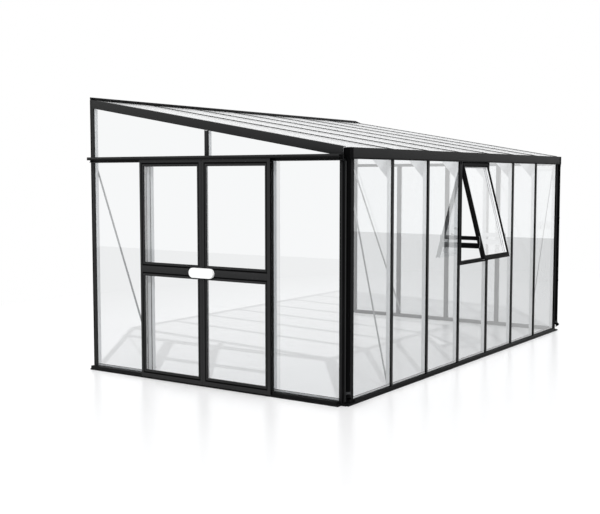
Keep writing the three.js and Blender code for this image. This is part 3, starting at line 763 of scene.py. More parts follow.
@dataclass(frozen=True)
class Palette:
    """Every finish of the house."""

    lines: GlassLines
    paint: Finish = PowderCoat("powder_coat", "frame_paint")
    # shade is a darker copy of the powder coat: painted shade for faces that lie in shadow, such as
    # the window transom under the gutter.
    shade: Finish = PowderCoat(
        "powder_coat_painted_shade", "frame_paint", paint=(0.0030, 0.0031, 0.0033),
        light_paint=(0.0050, 0.0051, 0.0053), roughness=0.55, gloss=0.10)
    bare: Finish = BareMetal("mill_aluminium", "bare_aluminium")
    dull: Finish = BareMetal(
        "dull_aluminium", "bare_aluminium", colour=(0.28, 0.285, 0.29), light=(0.36, 0.365, 0.37),
        stretch=(30.0, 30.0, 4.0))
    zinc: Finish = BareMetal(
        "plated_steel", "bare_aluminium", colour=(0.50, 0.51, 0.52), light=(0.66, 0.67, 0.68),
        stretch=(40.0, 40.0, 40.0), metallic=0.95, roughness=0.28)
    black_screw: Finish = BareMetal(
        "blackened_steel", "frame_paint", colour=(0.020, 0.020, 0.021), light=(0.035, 0.035, 0.036),
        stretch=(40.0, 40.0, 40.0), metallic=0.6, roughness=0.34)
    rubber: Finish = Moulded(
        "glazing_rubber", None, colour=(0.0014, 0.0014, 0.0015), light=(0.0028, 0.0028, 0.0030),
        roughness=0.6, texture=300.0, gloss=0.04)
    silicone: Finish = Moulded(
        "silicone_seal", None, colour=(0.42, 0.42, 0.425), light=(0.50, 0.50, 0.505),
        roughness=0.5, texture=300.0)
    drain: Finish = Moulded(
        "drain_plastic_skin", "drain_plastic", colour=(0.0014, 0.0014, 0.0015),
        light=(0.0026, 0.0026, 0.0028), roughness=0.42, gloss=0.015)
    collar: Finish = Moulded(
        "collar_plastic_skin", "drain_plastic", colour=(0.030, 0.031, 0.032),
        light=(0.042, 0.043, 0.045), roughness=0.45, gloss=0.10)
    handle: Finish = Moulded(
        "handle_plastic_skin", "handle_plastic", colour=(0.90, 0.90, 0.895),
        light=(0.94, 0.94, 0.935), roughness=0.26, texture=420.0, relief=0.05, coat=0.25, gloss=0.5)
    nylon: Finish = Moulded(
        "roller_nylon", "wheel_nylon", colour=(0.010, 0.010, 0.011), light=(0.022, 0.022, 0.023),
        roughness=0.5)
    brush: Finish = Bristle("brush_pile")
    glass: Finish = ClearGlass("clear_safety_glass", "clear_glass")
    window_glass: Finish = ClearGlass("window_safety_glass", "clear_glass", layers=8.0)
    sheet: Finish = TwinWallSheet("twin_wall_sheet", "roof_sheet")

    def coat(self, inner: Inner) -> PowderCoat:
        """The powder coat of one kind of bar."""
        return PowderCoat(f"powder_coat_{inner.name.lower()}", "frame_paint", lines=self.lines,
                          inner=inner, **COATS.get(inner, {}))

    def sill(self, inner: Inner) -> PowderCoat:
        """The darker coat of one kind of sill.

        Args:
            inner: where the sill's bare side lies.

        Returns:
            The coat.
        """
        return replace(self.coat(inner), name=f"powder_coat_sill_{inner.name.lower()}",
                       paint=(0.0045, 0.0046, 0.0048), light_paint=(0.0070, 0.0072, 0.0075),
                       gloss=0.06)


# ---------------------------------------------------------------- shapes


class Plane(Enum):
    """The plane that a section is drawn in, and so the axis that it is drawn out along."""

    ACROSS = "y and z, drawn out along x"
    ALONG = "x and z, drawn out along y"
    LEVEL = "x and y, drawn out along z"

    def point(self, u: float, v: float, out: float) -> Vector:
        """A point of the section, so far out.

        Args:
            u: the place along the section's first axis.
            v: the place along its second axis.
            out: how far out the point lies.

        Returns:
            The point.
        """
        if self is Plane.ACROSS:
            return Vector((out, u, v))
        if self is Plane.ALONG:
            return Vector((u, out, v))
        return Vector((u, v, out))

    @property
    def out(self) -> Vector:
        """The direction that sections are drawn out in."""
        return self.point(0.0, 0.0, 1.0)


class Shape:
    """A mesh being shaped with mesh operators, in the house's axes."""

    def __init__(self) -> None:
        """Starts empty."""
        self.mesh = bmesh.new()

    def _pull(self, faces: list[Face], way: Vector) -> list[Corner]:
        """Draws faces out into a solid and returns the corners that moved.

        Args:
            faces: the faces.
            way: how far and in which direction they go.

        Returns:
            The corners that moved.
        """
        made = bmesh.ops.extrude_face_region(self.mesh, geom=faces)["geom"]
        moved = [item for item in made if isinstance(item, Corner)]
        bmesh.ops.translate(self.mesh, vec=way, verts=moved)
        return moved

    def soften(self, edges: list[Edge], width: float, segments: int) -> None:
        """Rounds edges off.

        Args:
            edges: the edges.
            width: how far they are rounded.
            segments: facets of the rounding.
        """
        bmesh.ops.bevel(self.mesh, geom=edges, offset=width, offset_type="OFFSET",
                        segments=segments, profile=0.5, affect="EDGES", clamp_overlap=True,
                        material=-1)

    @staticmethod
    def _edges(corners: Sequence[Corner]) -> list[Edge]:
        """Every edge between these corners.

        Args:
            corners: the corners.

        Returns:
            The edges.
        """
        wanted = set(corners)
        found = {edge for corner in corners for edge in corner.link_edges}
        return [edge for edge in found if wanted.issuperset(edge.verts)]

    def prism(self, outline: Sequence[Point2], plane: Plane, start: float, end: float,
              soft: float = 0.0, segments: int = 2, ends: bool = False) -> "Shape":
        """Draws a section out into a bar.

        Args:
            outline: the section's corners in order.
            plane: the plane that it is drawn in.
            start: where the bar starts along its axis.
            end: where it ends.
            soft: how far its edges are rounded.
            segments: facets of the rounding.
            ends: whether the edges of its two ends are rounded too.

        Returns:
            The shape itself.
        """
        first = [self.mesh.verts.new(plane.point(u, v, start)) for u, v in outline]
        face = self.mesh.faces.new(first)
        moved = self._pull([face], plane.out * (end - start))
        if soft:
            edges = self._edges([*first, *moved])
            if not ends:
                edges = [edge for edge in edges if self.runs(edge, plane.out)]
            self.soften(edges, soft, segments)
        return self

    @staticmethod
    def runs(edge: Edge, way: Vector) -> bool:
        """Whether an edge runs along an axis."""
        line = edge.verts[1].co - edge.verts[0].co
        return abs(line.normalized().dot(way)) > 0.999

    def block(self, low: Sequence[float], high: Sequence[float], soft: float = 0.0,
              segments: int = 2) -> "Shape":
        """A block between two corners, its edges rounded if asked.

        Args:
            low: its lowest corner.
            high: its highest corner.
            soft: how far its edges are rounded.
            segments: facets of the rounding.

        Returns:
            The shape itself.
        """
        made = bmesh.ops.create_cube(self.mesh, size=1.0)["verts"]
        low, high = Vector(low), Vector(high)
        bmesh.ops.scale(self.mesh, vec=high - low, verts=made)
        bmesh.ops.translate(self.mesh, vec=(low + high) / 2, verts=made)
        if soft:
            self.soften(self._edges(made), soft, segments)
        return self

    def ring(self, outer: Sequence[Point2], inner: Sequence[Point2], plane: Plane, start: float,
             end: float, soft: float = 0.0, segments: int = 2, ends: bool = True) -> "Shape":
        """A flat frame between two outlines of as many corners, with some thickness.

        Args:
            outer: the outer outline.
            inner: the inner outline.
            plane: the plane of both.
            start: the near face.
            end: the far face.
            soft: how far its edges are rounded.
            segments: facets of the rounding.
            ends: whether the rims are rounded, or only the corners.

        Returns:
            The shape itself.
        """
        loops = [[self.mesh.verts.new(plane.point(u, v, start)) for u, v in outline]
                 for outline in (outer, inner)]
        rims = [self.mesh.edges.new(pair) for loop in loops for pair in pairs(loop)]
        faces = bmesh.ops.bridge_loops(self.mesh, edges=rims)["faces"]
        moved = self._pull(faces, plane.out * (end - start))
        if soft:
            near = {*loops[0], *loops[1]}
            edges = self._edges([*near, *moved])
            if ends:
                edges = [edge for edge in edges if edge.calc_face_angle(0.0) > 0.1]
            else:
                edges = [edge for edge in edges if self.runs(edge, plane.out)]
            self.soften(edges, soft, segments)
        return self

    def drum(self, middle: Sequence[float], radius: float, width: float, way: Sequence[float],
             sides: int = 24, soft: float = 0.0) -> "Shape":
        """A round or many-sided solid about an axis.

        Args:
            middle: its centre.
            radius: its radius.
            width: its length along the axis.
            way: the axis.
            sides: how many sides it has.
            soft: how far its rims are rounded.

        Returns:
            The shape itself.
        """
        made = bmesh.ops.create_cone(
            self.mesh, cap_ends=True, cap_tris=False, segments=sides, radius1=radius,
            radius2=radius, depth=width)["verts"]
        self._stand(made, middle, way)
        if soft:
            rims = [edge for edge in self._edges(made)
                    if not self.runs(edge, Vector(way).normalized())]
            self.soften(rims, soft, 2)
        return self

    def turned(self, profile: Sequence[Point2], middle: Sequence[float], way: Sequence[float],
               sides: int = 32) -> "Shape":
        """A profile of radius and height spun about an axis.

        Args:
            profile: the radius and height of each corner, in order, as a closed run.
            middle: where height zero lies on the axis.
            way: the axis.
            sides: facets of the turn.

        Returns:
            The shape itself.
        """
        corners = [self.mesh.verts.new((radius, 0.0, height)) for radius, height in profile]
        rim = [self.mesh.edges.new(pair) for pair in pairs(corners)]
        bmesh.ops.spin(self.mesh, geom=[*corners, *rim], cent=(0.0, 0.0, 0.0),
                       axis=(0.0, 0.0, 1.0), angle=math.tau, steps=sides, use_merge=True)
        made = self._island(corners)
        self._stand(made, middle, way)
        return self

    def _stand(self, made: Sequence[Corner], middle: Sequence[float],
               way: Sequence[float]) -> None:
        """Turns a solid that stands at the origin onto its own axis.

        Args:
            made: its corners.
            middle: where the origin comes to lie.
            way: the axis.
        """
        turn = Vector((0.0, 0.0, 1.0)).rotation_difference(Vector(way)).to_matrix()
        bmesh.ops.rotate(self.mesh, cent=(0.0, 0.0, 0.0), matrix=turn, verts=made)
        bmesh.ops.translate(self.mesh, vec=Vector(middle), verts=made)

    @staticmethod
    def _island(corners: Sequence[Corner]) -> list[Corner]:
        """Every corner that is joined to these.

        Args:
            corners: the corners to start from.

        Returns:
            All of their island's corners.
        """
        seen, waiting = set(corners), list(corners)
        while waiting:
            for edge in waiting.pop().link_edges:
                for corner in edge.verts:
                    if corner not in seen:
                        seen.add(corner)
                        waiting.append(corner)
        return list(seen)

    def hose(self, start: Vector, bend: Vector, aim: Vector, radius: float, turn: float,
             reach: float, wall: float, sides: int = 36) -> "Shape":
        """A pipe that comes down to a bend and goes off along another line.

        Args:
            start: the middle of its top end.
            bend: where its two straight lines meet.
            aim: the direction of the second line.
            radius: its outer radius.
            turn: the radius of the bend.
            reach: the length of the second line from the meeting point.
            wall: its wall thickness.
            sides: facets round it.

        Returns:
            The shape itself.
        """
        down = (bend - start).normalized()
        angle = down.angle(aim)
        lead = turn * math.tan(angle / 2)
        ring = bmesh.ops.create_circle(self.mesh, cap_ends=False, radius=radius,
                                       segments=sides)["verts"]
        bmesh.ops.translate(self.mesh, vec=start, verts=ring)
        rim = self._stretch(self._edges(ring), bend - down * lead - start)
        side = (aim - down * aim.dot(down)).normalized()
        pivot = bend - down * lead + side * turn
        made = bmesh.ops.spin(self.mesh, geom=rim, cent=pivot, axis=down.cross(aim).normalized(),
                              angle=angle, steps=8)["geom_last"]
        rim = [item for item in made if isinstance(item, Edge)]
        self._stretch(rim, aim * (reach - lead))
        bmesh.ops.remove_doubles(self.mesh, verts=self.mesh.verts, dist=0.001)
        faces = [face for face in self.mesh.faces if any(edge.is_boundary for edge in face.edges)]
        shell = self._island([corner for face in faces for corner in face.verts])
        skin = list({face for corner in shell for face in corner.link_faces})
        bmesh.ops.recalc_face_normals(self.mesh, faces=skin)
        bmesh.ops.solidify(self.mesh, geom=skin, thickness=wall)
        return self

    def _stretch(self, rim: list[Edge], way: Vector) -> list[Edge]:
        """Draws an open rim out and returns the new rim.

        Args:
            rim: the rim's edges.
            way: how far and in which direction it goes.

        Returns:
            The new rim.
        """
        made = bmesh.ops.extrude_edge_only(self.mesh, edges=rim)["geom"]
        moved = [item for item in made if isinstance(item, Corner)]
        bmesh.ops.translate(self.mesh, vec=way, verts=moved)
        wanted = set(moved)
        return [item for item in made
                if isinstance(item, Edge) and wanted.issuperset(item.verts)]

    def rounded_copy(self, node: bpy.types.Object, house: House, width: float) -> "Shape":
        """A copy of a frame node with its outer edges rounded.

        Args:
            node: the node.
            house: whose axes the copy is brought into.
            width: how far the edges are rounded.

        Returns:
            The shape itself.
        """
        self.mesh.from_mesh(node.data)
        bmesh.ops.transform(self.mesh, matrix=house.to_frame.inverted(), verts=self.mesh.verts)
        bmesh.ops.remove_doubles(self.mesh, verts=self.mesh.verts, dist=0.02)
        bmesh.ops.dissolve_limit(self.mesh, angle_limit=math.radians(0.4),
                                 verts=self.mesh.verts, edges=self.mesh.edges)
        edges = [edge for edge in self.mesh.edges
                 if edge.is_manifold and edge.is_convex
                 and edge.calc_face_angle(0.0) > math.radians(28.0)
                 and edge.calc_length() > 4.0 * width]
        self.soften(edges, width, 2)
        return self

    def turn(self, matrix: Matrix) -> "Shape":
        """Moves all of the shape by a matrix."""
        bmesh.ops.transform(self.mesh, matrix=matrix, verts=self.mesh.verts)
        return self


class Workshop:
    """Turns shapes into pieces that ride on the frame, and dresses the frame's own nodes."""

    def __init__(self, house: House) -> None:
        """Works on one house."""
        self.house = house
        self.finishes = Palette(GlassLines.of(house))

    def piece(self, name: str, shape: Shape, finish: Finish, body: str = "frame",
              replaces: Sequence[str] = (), smooth: float = 35.0) -> None:
        """Finishes a shape as a piece.

        Args:
            name: the piece's name.
            shape: its mesh.
            finish: its finish.
            body: the body that it rides on.
            replaces: the frame nodes that it stands for.
            smooth: faces that meet at less than this angle are shaded as one.
        """
        bmesh.ops.recalc_face_normals(shape.mesh, faces=shape.mesh.faces)
        shape.turn(self.house.to_frame)
        data = bpy.data.meshes.new(name)
        shape.mesh.to_mesh(data)
        shape.mesh.free()
        data.polygons.foreach_set("use_smooth", [True] * len(data.polygons))
        data.set_sharp_from_angle(angle=math.radians(smooth))
        data.materials.append(finish.material())
        made = bpy.data.objects.new(name, data)
        bpy.context.scene.collection.objects.link(made)
        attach(made, body)
        if replaces:
            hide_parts(*replaces)
        LOG.info("%s: %d faces on %s", name, len(data.polygons), body)

    def dress(self, node: str, finish: Finish) -> None:
        """Gives a frame node its finish.

        Args:
            node: the node's name.
            finish: its finish.
        """
        target = self.house.nodes[node]
        if not target.material_slots:
            target.data.materials.append(finish.material())
        for slot in target.material_slots:
            slot.material = finish.material()
        LOG.info("%s: dressed in %s", node, finish.name)

    def round_off(self, node: str, finish: Finish, width: float) -> None:
        """Shows a frame node as a copy with rounded edges."""
        shape = Shape().rounded_copy(self.house.nodes[node], self.house, width)
        self.piece(f"{node}_extrusion", shape, finish, replaces=[node])


# ---------------------------------------------------------------- sub-assemblies


BRACES = ("door_gable_brace", "far_gable_brace", "near_eave_brace", "far_eave_brace")


@dataclass
class Bars:
    """The extruded bars of the walls and roof, each with its edges rounded."""

    shop: Workshop
    edge: float = 0.9
    jamb: float = 52.0
    jamb_out: float = 9.0
    jamb_seat: float = 22.5
    wall_post: float = 48.0
    wall_post_seat: float = 26.0
    pane_play: float = 0.4
    transom_step: float = 15.0

    def build(self) -> None:
        """Rounds and finishes every bar."""
        rows: dict[Inner, list[str]] = {
            Inner.EAVE: ["front_sill"] + [f"front_post_{bar}" for bar in (1, 2, 5, 6)],
            Inner.WINDOW_POST: ["front_post_3", "front_post_4"],
            Inner.DOOR_GABLE: ["door_gable_sill", "door_gable_mullion", "door_header_track"],
            Inner.FAR_GABLE: [f"far_gable_{bar}" for bar in (
                "sill", "wall_post", "header", "mullion", "stud_1", "stud_2", "stud_3")],
            Inner.NEAR_CORNER: ["near_corner_post"],
            Inner.FAR_CORNER: ["far_corner_post"],
            Inner.UNDER_SHEET: [f"roof_bar_{bar}" for bar in range(1, 7)] + ["wall_bar"],
            Inner.NEAR_RAFTER: ["door_gable_rafter"],
            Inner.FAR_RAFTER: ["far_gable_rafter"],
        }
        house, finishes = self.shop.house, self.shop.finishes
        for inner, names in rows.items():
            for name in names:
                finish = finishes.sill(inner) if name.endswith("sill") else finishes.coat(inner)
                self.shop.round_off(name, finish, self.edge)
        self._transom()
        for name in BRACES:
            self.shop.round_off(name, finishes.dull, 0.5)
        left = house.box("left_door_jamb").high.y + self.jamb_out
        right = house.box("right_door_jamb").low.y - self.jamb_out
        self._cover("left_door_jamb", left, -1.0, self.jamb, self.jamb_seat)
        self._cover("right_door_jamb", right, 1.0, self.jamb, self.jamb_seat)
        self._cover("door_gable_wall_post", house.depth - self.wall_post, 1.0, self.wall_post,
                    self.wall_post_seat)

    def _transom(self) -> None:
        """The bar under the window, stepped so that the sash's lip closes in front of it."""
        box = self.shop.house.box("window_transom")
        front, back, low, high = box.low.y, box.high.y, box.low.z, box.high.z
        step, face = high - self.transom_step, -self.pane_play
        section = [(front, low), (back, low), (back, high), (face, high), (face, step),
                   (front, step)]
        shape = Shape().prism(section, Plane.ACROSS, box.low.x, box.high.x, soft=self.edge)
        # The transom gets the darker shade coat: painted shade under the gutter.
        self.shop.piece("window_transom_extrusion", shape, self.shop.finishes.shade, "frame",
                        ["window_transom"])

    def _cover(self, node: str, outer: float, sign: float, width: float, seat: float) -> None:
        """A post of the door gable, whose outer lip covers the edge of the fixed pane.

        Args:
            node: the frame node that it stands for.
            outer: where the side that holds the pane lies across the gable.
            sign: the direction from that side to its other side.
            width: its width.
            seat: how deep the pane's groove goes into it.
        """
        house = self.shop.house
        box = house.box(node)
        inner, seat = outer + sign * width, outer + sign * seat
        near = house.glass_set - self.pane_play
        far = house.glass_set + house.glass_thickness + self.pane_play
        section = [(0.0, outer), (0.0, inner), (house.frame_depth, inner),
                   (house.frame_depth, outer), (far, outer), (far, seat), (near, seat),
                   (near, outer)]
        shape = Shape().prism(section, Plane.LEVEL, box.low.z, box.high.z, soft=self.edge)
        self.shop.piece(f"{node}_extrusion", shape, self.shop.finishes.coat(Inner.DOOR_GABLE),
                        "frame", [node])


@dataclass
class Glazing:
    """The glass, the roof sheets and the black rubber that holds the panes."""

    shop: Workshop
    lip: float = 4.5
    sunk: float = 1.4
    inner_rubber: float = 5.0
    post_half: float = 17.0
    rafter_drop: float = 84.0
    least_height: float = 14.0

    def build(self) -> None:
        """Dresses the panes and rings each one with rubber inside and out."""
        finishes = self.shop.finishes
        for node in ("front_panes", "door_gable_left_pane", "door_gable_right_pane",
                     "door_gable_upper_panes", "far_gable_lower_panes", "far_gable_upper_panes",
                     "left_door_glass", "right_door_glass"):
            self.shop.dress(node, finishes.glass)
        self.shop.dress("window_glass", finishes.window_glass)
        self.shop.dress("roof_panels", finishes.sheet)
        self.shop.piece("eave_glazing_rubber", self._eave_rings(), finishes.rubber)
        house = self.shop.house
        studs = [house.box(f"far_gable_stud_{stud}") for stud in (1, 2, 3)]
        doors = (house.box("right_door_jamb").low.y, house.box("left_door_jamb").high.y)
        door_gable = self._gable_rings("door_gable", "near", doors, lambda depth: depth)
        far_gable = self._gable_rings(
            "far_gable", "far", [side for stud in studs for side in (stud.low.y, stud.high.y)],
            lambda depth: house.length - depth)
        self.shop.piece("door_gable_glazing_rubber", door_gable, finishes.rubber)
        self.shop.piece("far_gable_glazing_rubber", far_gable, finishes.rubber)

    def _beads(self, shape: Shape, outline: list[Point2], plane: Plane,
               place: Callable[[float], float]) -> None:
        """Rings one pane with rubber on both sides of the glass.

        Args:
            shape: what the rubber is added to.
            outline: the pane's outline.
            plane: the plane that the pane lies in.
            place: turns a depth behind the wall's face into a place.
        """
        inner = self._inset(outline)
        house = self.shop.house
        front, back = house.glass_set, house.glass_set + house.glass_thickness
        for near, far in ((self.sunk, front), (back, back + self.inner_rubber)):
            shape.ring(outline, inner, plane, *sorted((place(near), place(far))), soft=0.8)

    def _inset(self, outline: list[Point2]) -> list[Point2]:
        """The same outline, drawn in evenly by the rubber's lip.

        Args:
            outline: the pane's outline.

        Returns:
            The inner outline.
        """
        drawn = bmesh.new()
        face = drawn.faces.new([drawn.verts.new((u, v, 0.0)) for u, v in outline])
        bmesh.ops.inset_region(drawn, faces=[face], thickness=self.lip, use_even_offset=True,
                               use_boundary=True)
        inner = [(corner.co.x, corner.co.y) for corner in face.verts]
        drawn.free()
        return inner

    def _eave_rings(self) -> Shape:
        """The rubber of the seven eave panes.

        Returns:
            The rings of rubber.
        """
        house, shape = self.shop.house, Shape()
        low = house.box("front_sill").high.z
        posts = [house.box("near_corner_post").high.x]
        for line in house.lines:
            posts += [line - self.post_half, line + self.post_half]
        posts.append(house.box("far_corner_post").low.x)
        top = [house.box("eave_gutter").low.z] * house.bays
        top[house.window_bay] = house.box("window_transom").low.z
        for bay in range(house.bays):
            start, end = posts[2 * bay], posts[2 * bay + 1]
            self._beads(shape, rectangle(start, low, end, top[bay]), Plane.ALONG, lambda v: v)
        return shape

    def _gable_rings(self, gable: str, end: str, stops: Sequence[float],
                     place: Callable[[float], float]) -> Shape:
        """The rubber of one gable's panes: the lower ones, and the two under its rafter.

        Args:
            gable: the gable's name.
            end: the end of the house that it closes.
            stops: where the lower panes end and start again between the corner and the wall.
            place: turns a depth behind the gable's face into a place.

        Returns:
            The rings of rubber.
        """
        house, shape = self.shop.house, Shape()
        header, mullion = house.box("far_gable_header"), house.box(f"{gable}_mullion")
        corner = house.box(f"{end}_corner_post").high.y
        wall = house.box(f"{gable}_wall_post").low.y
        sides = [corner, *stops, wall]
        for start, stop in zip(sides[::2], sides[1::2]):
            lower = rectangle(start, house.box(f"{gable}_sill").high.z, stop, header.low.z)
            self._beads(shape, lower, Plane.ACROSS, place)
        low, drop = header.high.z, self.rafter_drop
        shallow = (low - house.eave_top + drop + self.least_height) / house.pitch
        for start, stop in ((max(corner, shallow), mullion.low.y), (mullion.high.y, wall)):
            upper = [(start, low), (stop, low), (stop, house.roof(stop) - drop),
                     (start, house.roof(start) - drop)]
            self._beads(shape, upper, Plane.ACROSS, place)
        return shape


@dataclass
class DoorLeaf:
    """One sliding leaf: stiles and rails with a recessed bead round each of its two lights."""

    shop: Workshop
    side: str
    meets: float
    set_back: float = 8.0
    depth: float = 22.0
    low_stile: float = 56.0
    high_stile: float = 47.5
    stile_bead: float = 14.0
    stile_groove: float = 10.0
    rail_bead: float = 19.0
    rail_groove: float = 14.0
    top_rail: float = 73.0
    bottom_rail: float = 69.0
    mid_low: float = 996.0
    mid_high: float = 1123.0
    glass_front: float = 9.5
    glass_back: float = 13.5
    glass_play: float = 0.5
    rebate: float = 10.0
    bead_face: float = 1.0
    flange: float = 7.0
    flange_depth: float = 11.0
    groove_floor: tuple[float, float] = (4.5, 8.8)
    lip_grip: float = 2.0
    lip_shown: float = 2.5
    brush: Point2 = (9.0, 14.0)
    brush_depth: float = 8.0
    foot_brush: Point2 = (12.0, 18.0)
    foot_drop: float = 2.5
    bolt_radius: float = 4.0
    bolt_length: float = 16.0
    grip_length: float = 140.0
    grip_edge: float = 6.5

    def build(self) -> None:
        """Builds the leaf's frame, beads, seals, rollers and its half of the handle."""
        body = f"{self.side}_door"
        finishes = self.shop.finishes
        coat = finishes.coat(Inner.LEAF_BACK)
        self.box = self.shop.house.box(f"{self.side}_door_frame")
        self.front = self.box.low.x + self.set_back
        self.back = self.front + self.depth
        self.shop.piece(f"{body}_stiles_and_rails", self._bars(), coat, body, [f"{body}_frame"])
        for name, shape, finish in (
                ("glazing_beads", self._beads(), coat),
                ("inner_flange", self._flange(), coat),
                ("glazing_rubber", self._rubber(), finishes.rubber),
                ("brush_seals", self._seals(), finishes.brush),
                ("hanger_bolts", self._hangers(), finishes.zinc)):
            self.shop.piece(f"{body}_{name}", shape, finish, body)
        self.shop.piece(f"{body}_grip", self._grip(), finishes.handle, body,
                        [f"{body}_handle"], smooth=50.0)
        for wheel in (1, 2):
            self._roller(wheel)

    def _section(self, at: float, sign: float, width: float, near: float,
                 far: float) -> list[Point2]:
        """A bar's section: depth against distance from its outer edge.

        Args:
            at: the outer edge's place.
            sign: the direction from the outer edge to the light.
            width: the bar's whole width.
            near: the bead's width on the outer side, zero where there is none.
            far: the bead's width on the light's side.

        Returns:
            The section's corners, as depth behind the leaf's face and place across.
        """
        front, back = self.front, self.back
        seat = front + self.glass_front - self.glass_play
        behind = front + self.glass_back + self.glass_play
        bite = self.rebate

        def across(distance: float) -> float:
            """A place so far from the outer edge."""
            return at + sign * distance

        points = [(front, across(near)), (front, across(width - far)), (seat, across(width - far)),
                  (seat, across(width - bite)), (behind, across(width - bite)),
                  (behind, across(width)), (back, across(width))]
        if near:
            points += [(back, across(0.0)), (behind, across(0.0)), (behind, across(bite)),
                       (seat, across(bite)), (seat, across(near))]
        else:
            points += [(back, across(0.0))]
        return points

    def _bars(self) -> Shape:
        """Two stiles from top to bottom, and three rails between them.

        Returns:
            The shape.
        """
        shape, box = Shape(), self.box
        across = self.stile_bead + self.stile_groove
        along = self.rail_bead + self.rail_groove
        for edge, sign, width in ((box.low.y, 1.0, self.low_stile),
                                  (box.high.y, -1.0, self.high_stile)):
            section = self._section(edge, sign, width, 0.0, across)
            shape.prism(section, Plane.LEVEL, box.low.z, box.high.z, soft=0.8)
        start = box.low.y + self.low_stile - across
        end = box.high.y - self.high_stile + across
        rails = (self._section(box.high.z, -1.0, self.top_rail, 0.0, along),
                 self._section(box.low.z, 1.0, self.bottom_rail, 0.0, along),
                 self._section(self.mid_low, 1.0, self.mid_high - self.mid_low, along, along))
        for section in rails:
            shape.prism(section, Plane.ALONG, start, end, soft=0.8)
        return shape

    def _lights(self) -> list[list[Point2]]:
        """The outline of the glass that shows in each light.

        Returns:
            The lower and the upper light's outline.
        """
        box = self.box
        left, right = box.low.y + self.low_stile, box.high.y - self.high_stile
        low, high = box.low.z + self.bottom_rail, box.high.z - self.top_rail
        return [rectangle(left, low, right, self.mid_low),
                rectangle(left, self.mid_high, right, high)]

    @staticmethod
    def _grown(outline: list[Point2], across: float, along: float) -> list[Point2]:
        """An outline made wider and higher on every side."""
        (left, low), _, (right, high), _ = outline
        return rectangle(left - across, low - along, right + across, high + along)

    def _beads(self) -> Shape:
        """The rounded bead round each light.

        Returns:
            The shape.
        """
        shape = Shape()
        near = self.front + self.bead_face
        far = self.front + self.glass_front - 0.6
        for glass in self._lights():
            shape.ring(self._grown(glass, self.stile_bead, self.rail_bead), glass, Plane.ACROSS,
                       near, far, soft=3.0, segments=3)
        return shape

    def _flange(self) -> Shape:
        """The inner flange round each light, behind the glass.

        Returns:
            The shape.
        """
        shape = Shape()
        for glass in self._lights():
            shape.ring(self._grown(glass, self.flange, self.flange), glass, Plane.ACROSS,
                       self.back - 1.0, self.back + self.flange_depth, soft=0.8)
        return shape

    def _rubber(self) -> Shape:
        """Black grooves round the beads, rubber lips at the glass and seals down the sides.

        Returns:
            The shape.
        """
        shape, box = Shape(), self.box
        near_floor, far_floor = self.groove_floor
        for glass in self._lights():
            bead = self._grown(glass, self.stile_bead, self.rail_bead)
            face = self._grown(glass, self.stile_bead + self.stile_groove,
                               self.rail_bead + self.rail_groove)
            shape.ring(face, bead, Plane.ACROSS, self.front + near_floor,
                       self.front + far_floor, soft=0.4)
            edge = self._grown(glass, self.lip_grip, self.lip_grip)
            lip = self._grown(glass, -self.lip_shown, -self.lip_shown)
            shape.ring(edge, lip, Plane.ACROSS, self.front + self.glass_front - 2.0,
                       self.front + self.glass_front, soft=0.6)
        # The black strips down both sides are seals that also cover the leaf's side faces: partly
        # real rubber, partly painted shade on those faces.
        for at, out in ((box.low.y, -1.0), (box.high.y, 1.0)):
            width = 0.8 if abs(at - self.meets) < 1.0 else 1.6
            near, far = sorted((at - out * 0.4, at + out * width))
            shape.block((self.front + 3.0, near, box.low.z + 2.0),
                        (self.back - 1.0, far, box.high.z - 2.0), soft=0.3)
        return shape

    def _seals(self) -> Shape:
        """Brush seals down the back of both stiles and along the foot.

        Returns:
            The shape.
        """
        shape, box = Shape(), self.box
        for edge, sign in ((box.low.y, 1.0), (box.high.y, -1.0)):
            near, far = sorted(edge + sign * side for side in self.brush)
            shape.block((self.back, near, box.low.z + 4.0),
                        (self.back + self.brush_depth, far, box.high.z - 40.0), soft=1.2)
        near, far = self.foot_brush
        shape.block((self.front + near, box.low.y + 6.0, box.low.z - self.foot_drop),
                    (self.front + far, box.high.y - 6.0, box.low.z), soft=0.8)
        return shape

    def _hangers(self) -> Shape:
        """The axle bolt of each roller.

        Returns:
            The shape.
        """
        shape = Shape()
        for wheel in (1, 2):
            middle = self.shop.house.box(f"{self.side}_door_wheel_{wheel}").middle
            shape.drum((self.box.high.x - self.bolt_length / 2, middle.y, middle.z),
                       self.bolt_radius, self.bolt_length, (1, 0, 0), soft=0.6)
        return shape

    def _roller(self, wheel: int) -> None:
        """One nylon roller with a rounded tread and a recessed hub.

        Args:
            wheel: the wheel's number.
        """
        node = f"{self.side}_door_wheel_{wheel}"
        box = self.shop.house.box(node)
        half, rim = (box.high.x - box.low.x) / 2, (box.high.z - box.low.z) / 2
        profile = [(4.3, -half), (6.4, -half), (6.4, -half + 1.2), (8.0, -half + 1.2),
                   (8.0, -half), (rim - 0.8, -half), (rim, -half + 0.9), (rim, half - 0.9),
                   (rim - 0.8, half), (8.0, half), (8.0, half - 1.2), (6.4, half - 1.2),
                   (6.4, half), (4.3, half)]
        shape = Shape().turned(profile, box.middle, (1, 0, 0), sides=48)
        self.shop.piece(f"{node}_tyre", shape, self.shop.finishes.nylon,
                        f"{self.side}_wheel_{wheel}", [node])

    def _grip(self) -> Shape:
        """Half of the rounded pull, cut straight where the leaves meet.

        Returns:
            The shape.
        """
        box = self.shop.house.box(f"{self.side}_door_handle")
        inner, face = self.meets, box.low.x
        outer = inner + (-self.grip_length if self.side == "right" else self.grip_length)
        radius = (box.high.z - box.low.z) / 2
        shape = Shape().block((face, min(inner, outer), box.low.z),
                              (self.front + 0.2, max(inner, outer), box.high.z))
        ends = [edge for edge in shape.mesh.edges
                if shape.runs(edge, Vector((1, 0, 0))) and abs(edge.verts[0].co.y - outer) < 0.1]
        shape.soften(ends, radius - 0.02, 14)
        rim = [edge for edge in shape.mesh.edges
               if all(abs(corner.co.x - face) < 0.01 for corner in edge.verts)
               and not all(abs(corner.co.y - inner) < 0.01 for corner in edge.verts)]
        shape.soften(rim, self.grip_edge, 5)
        return shape


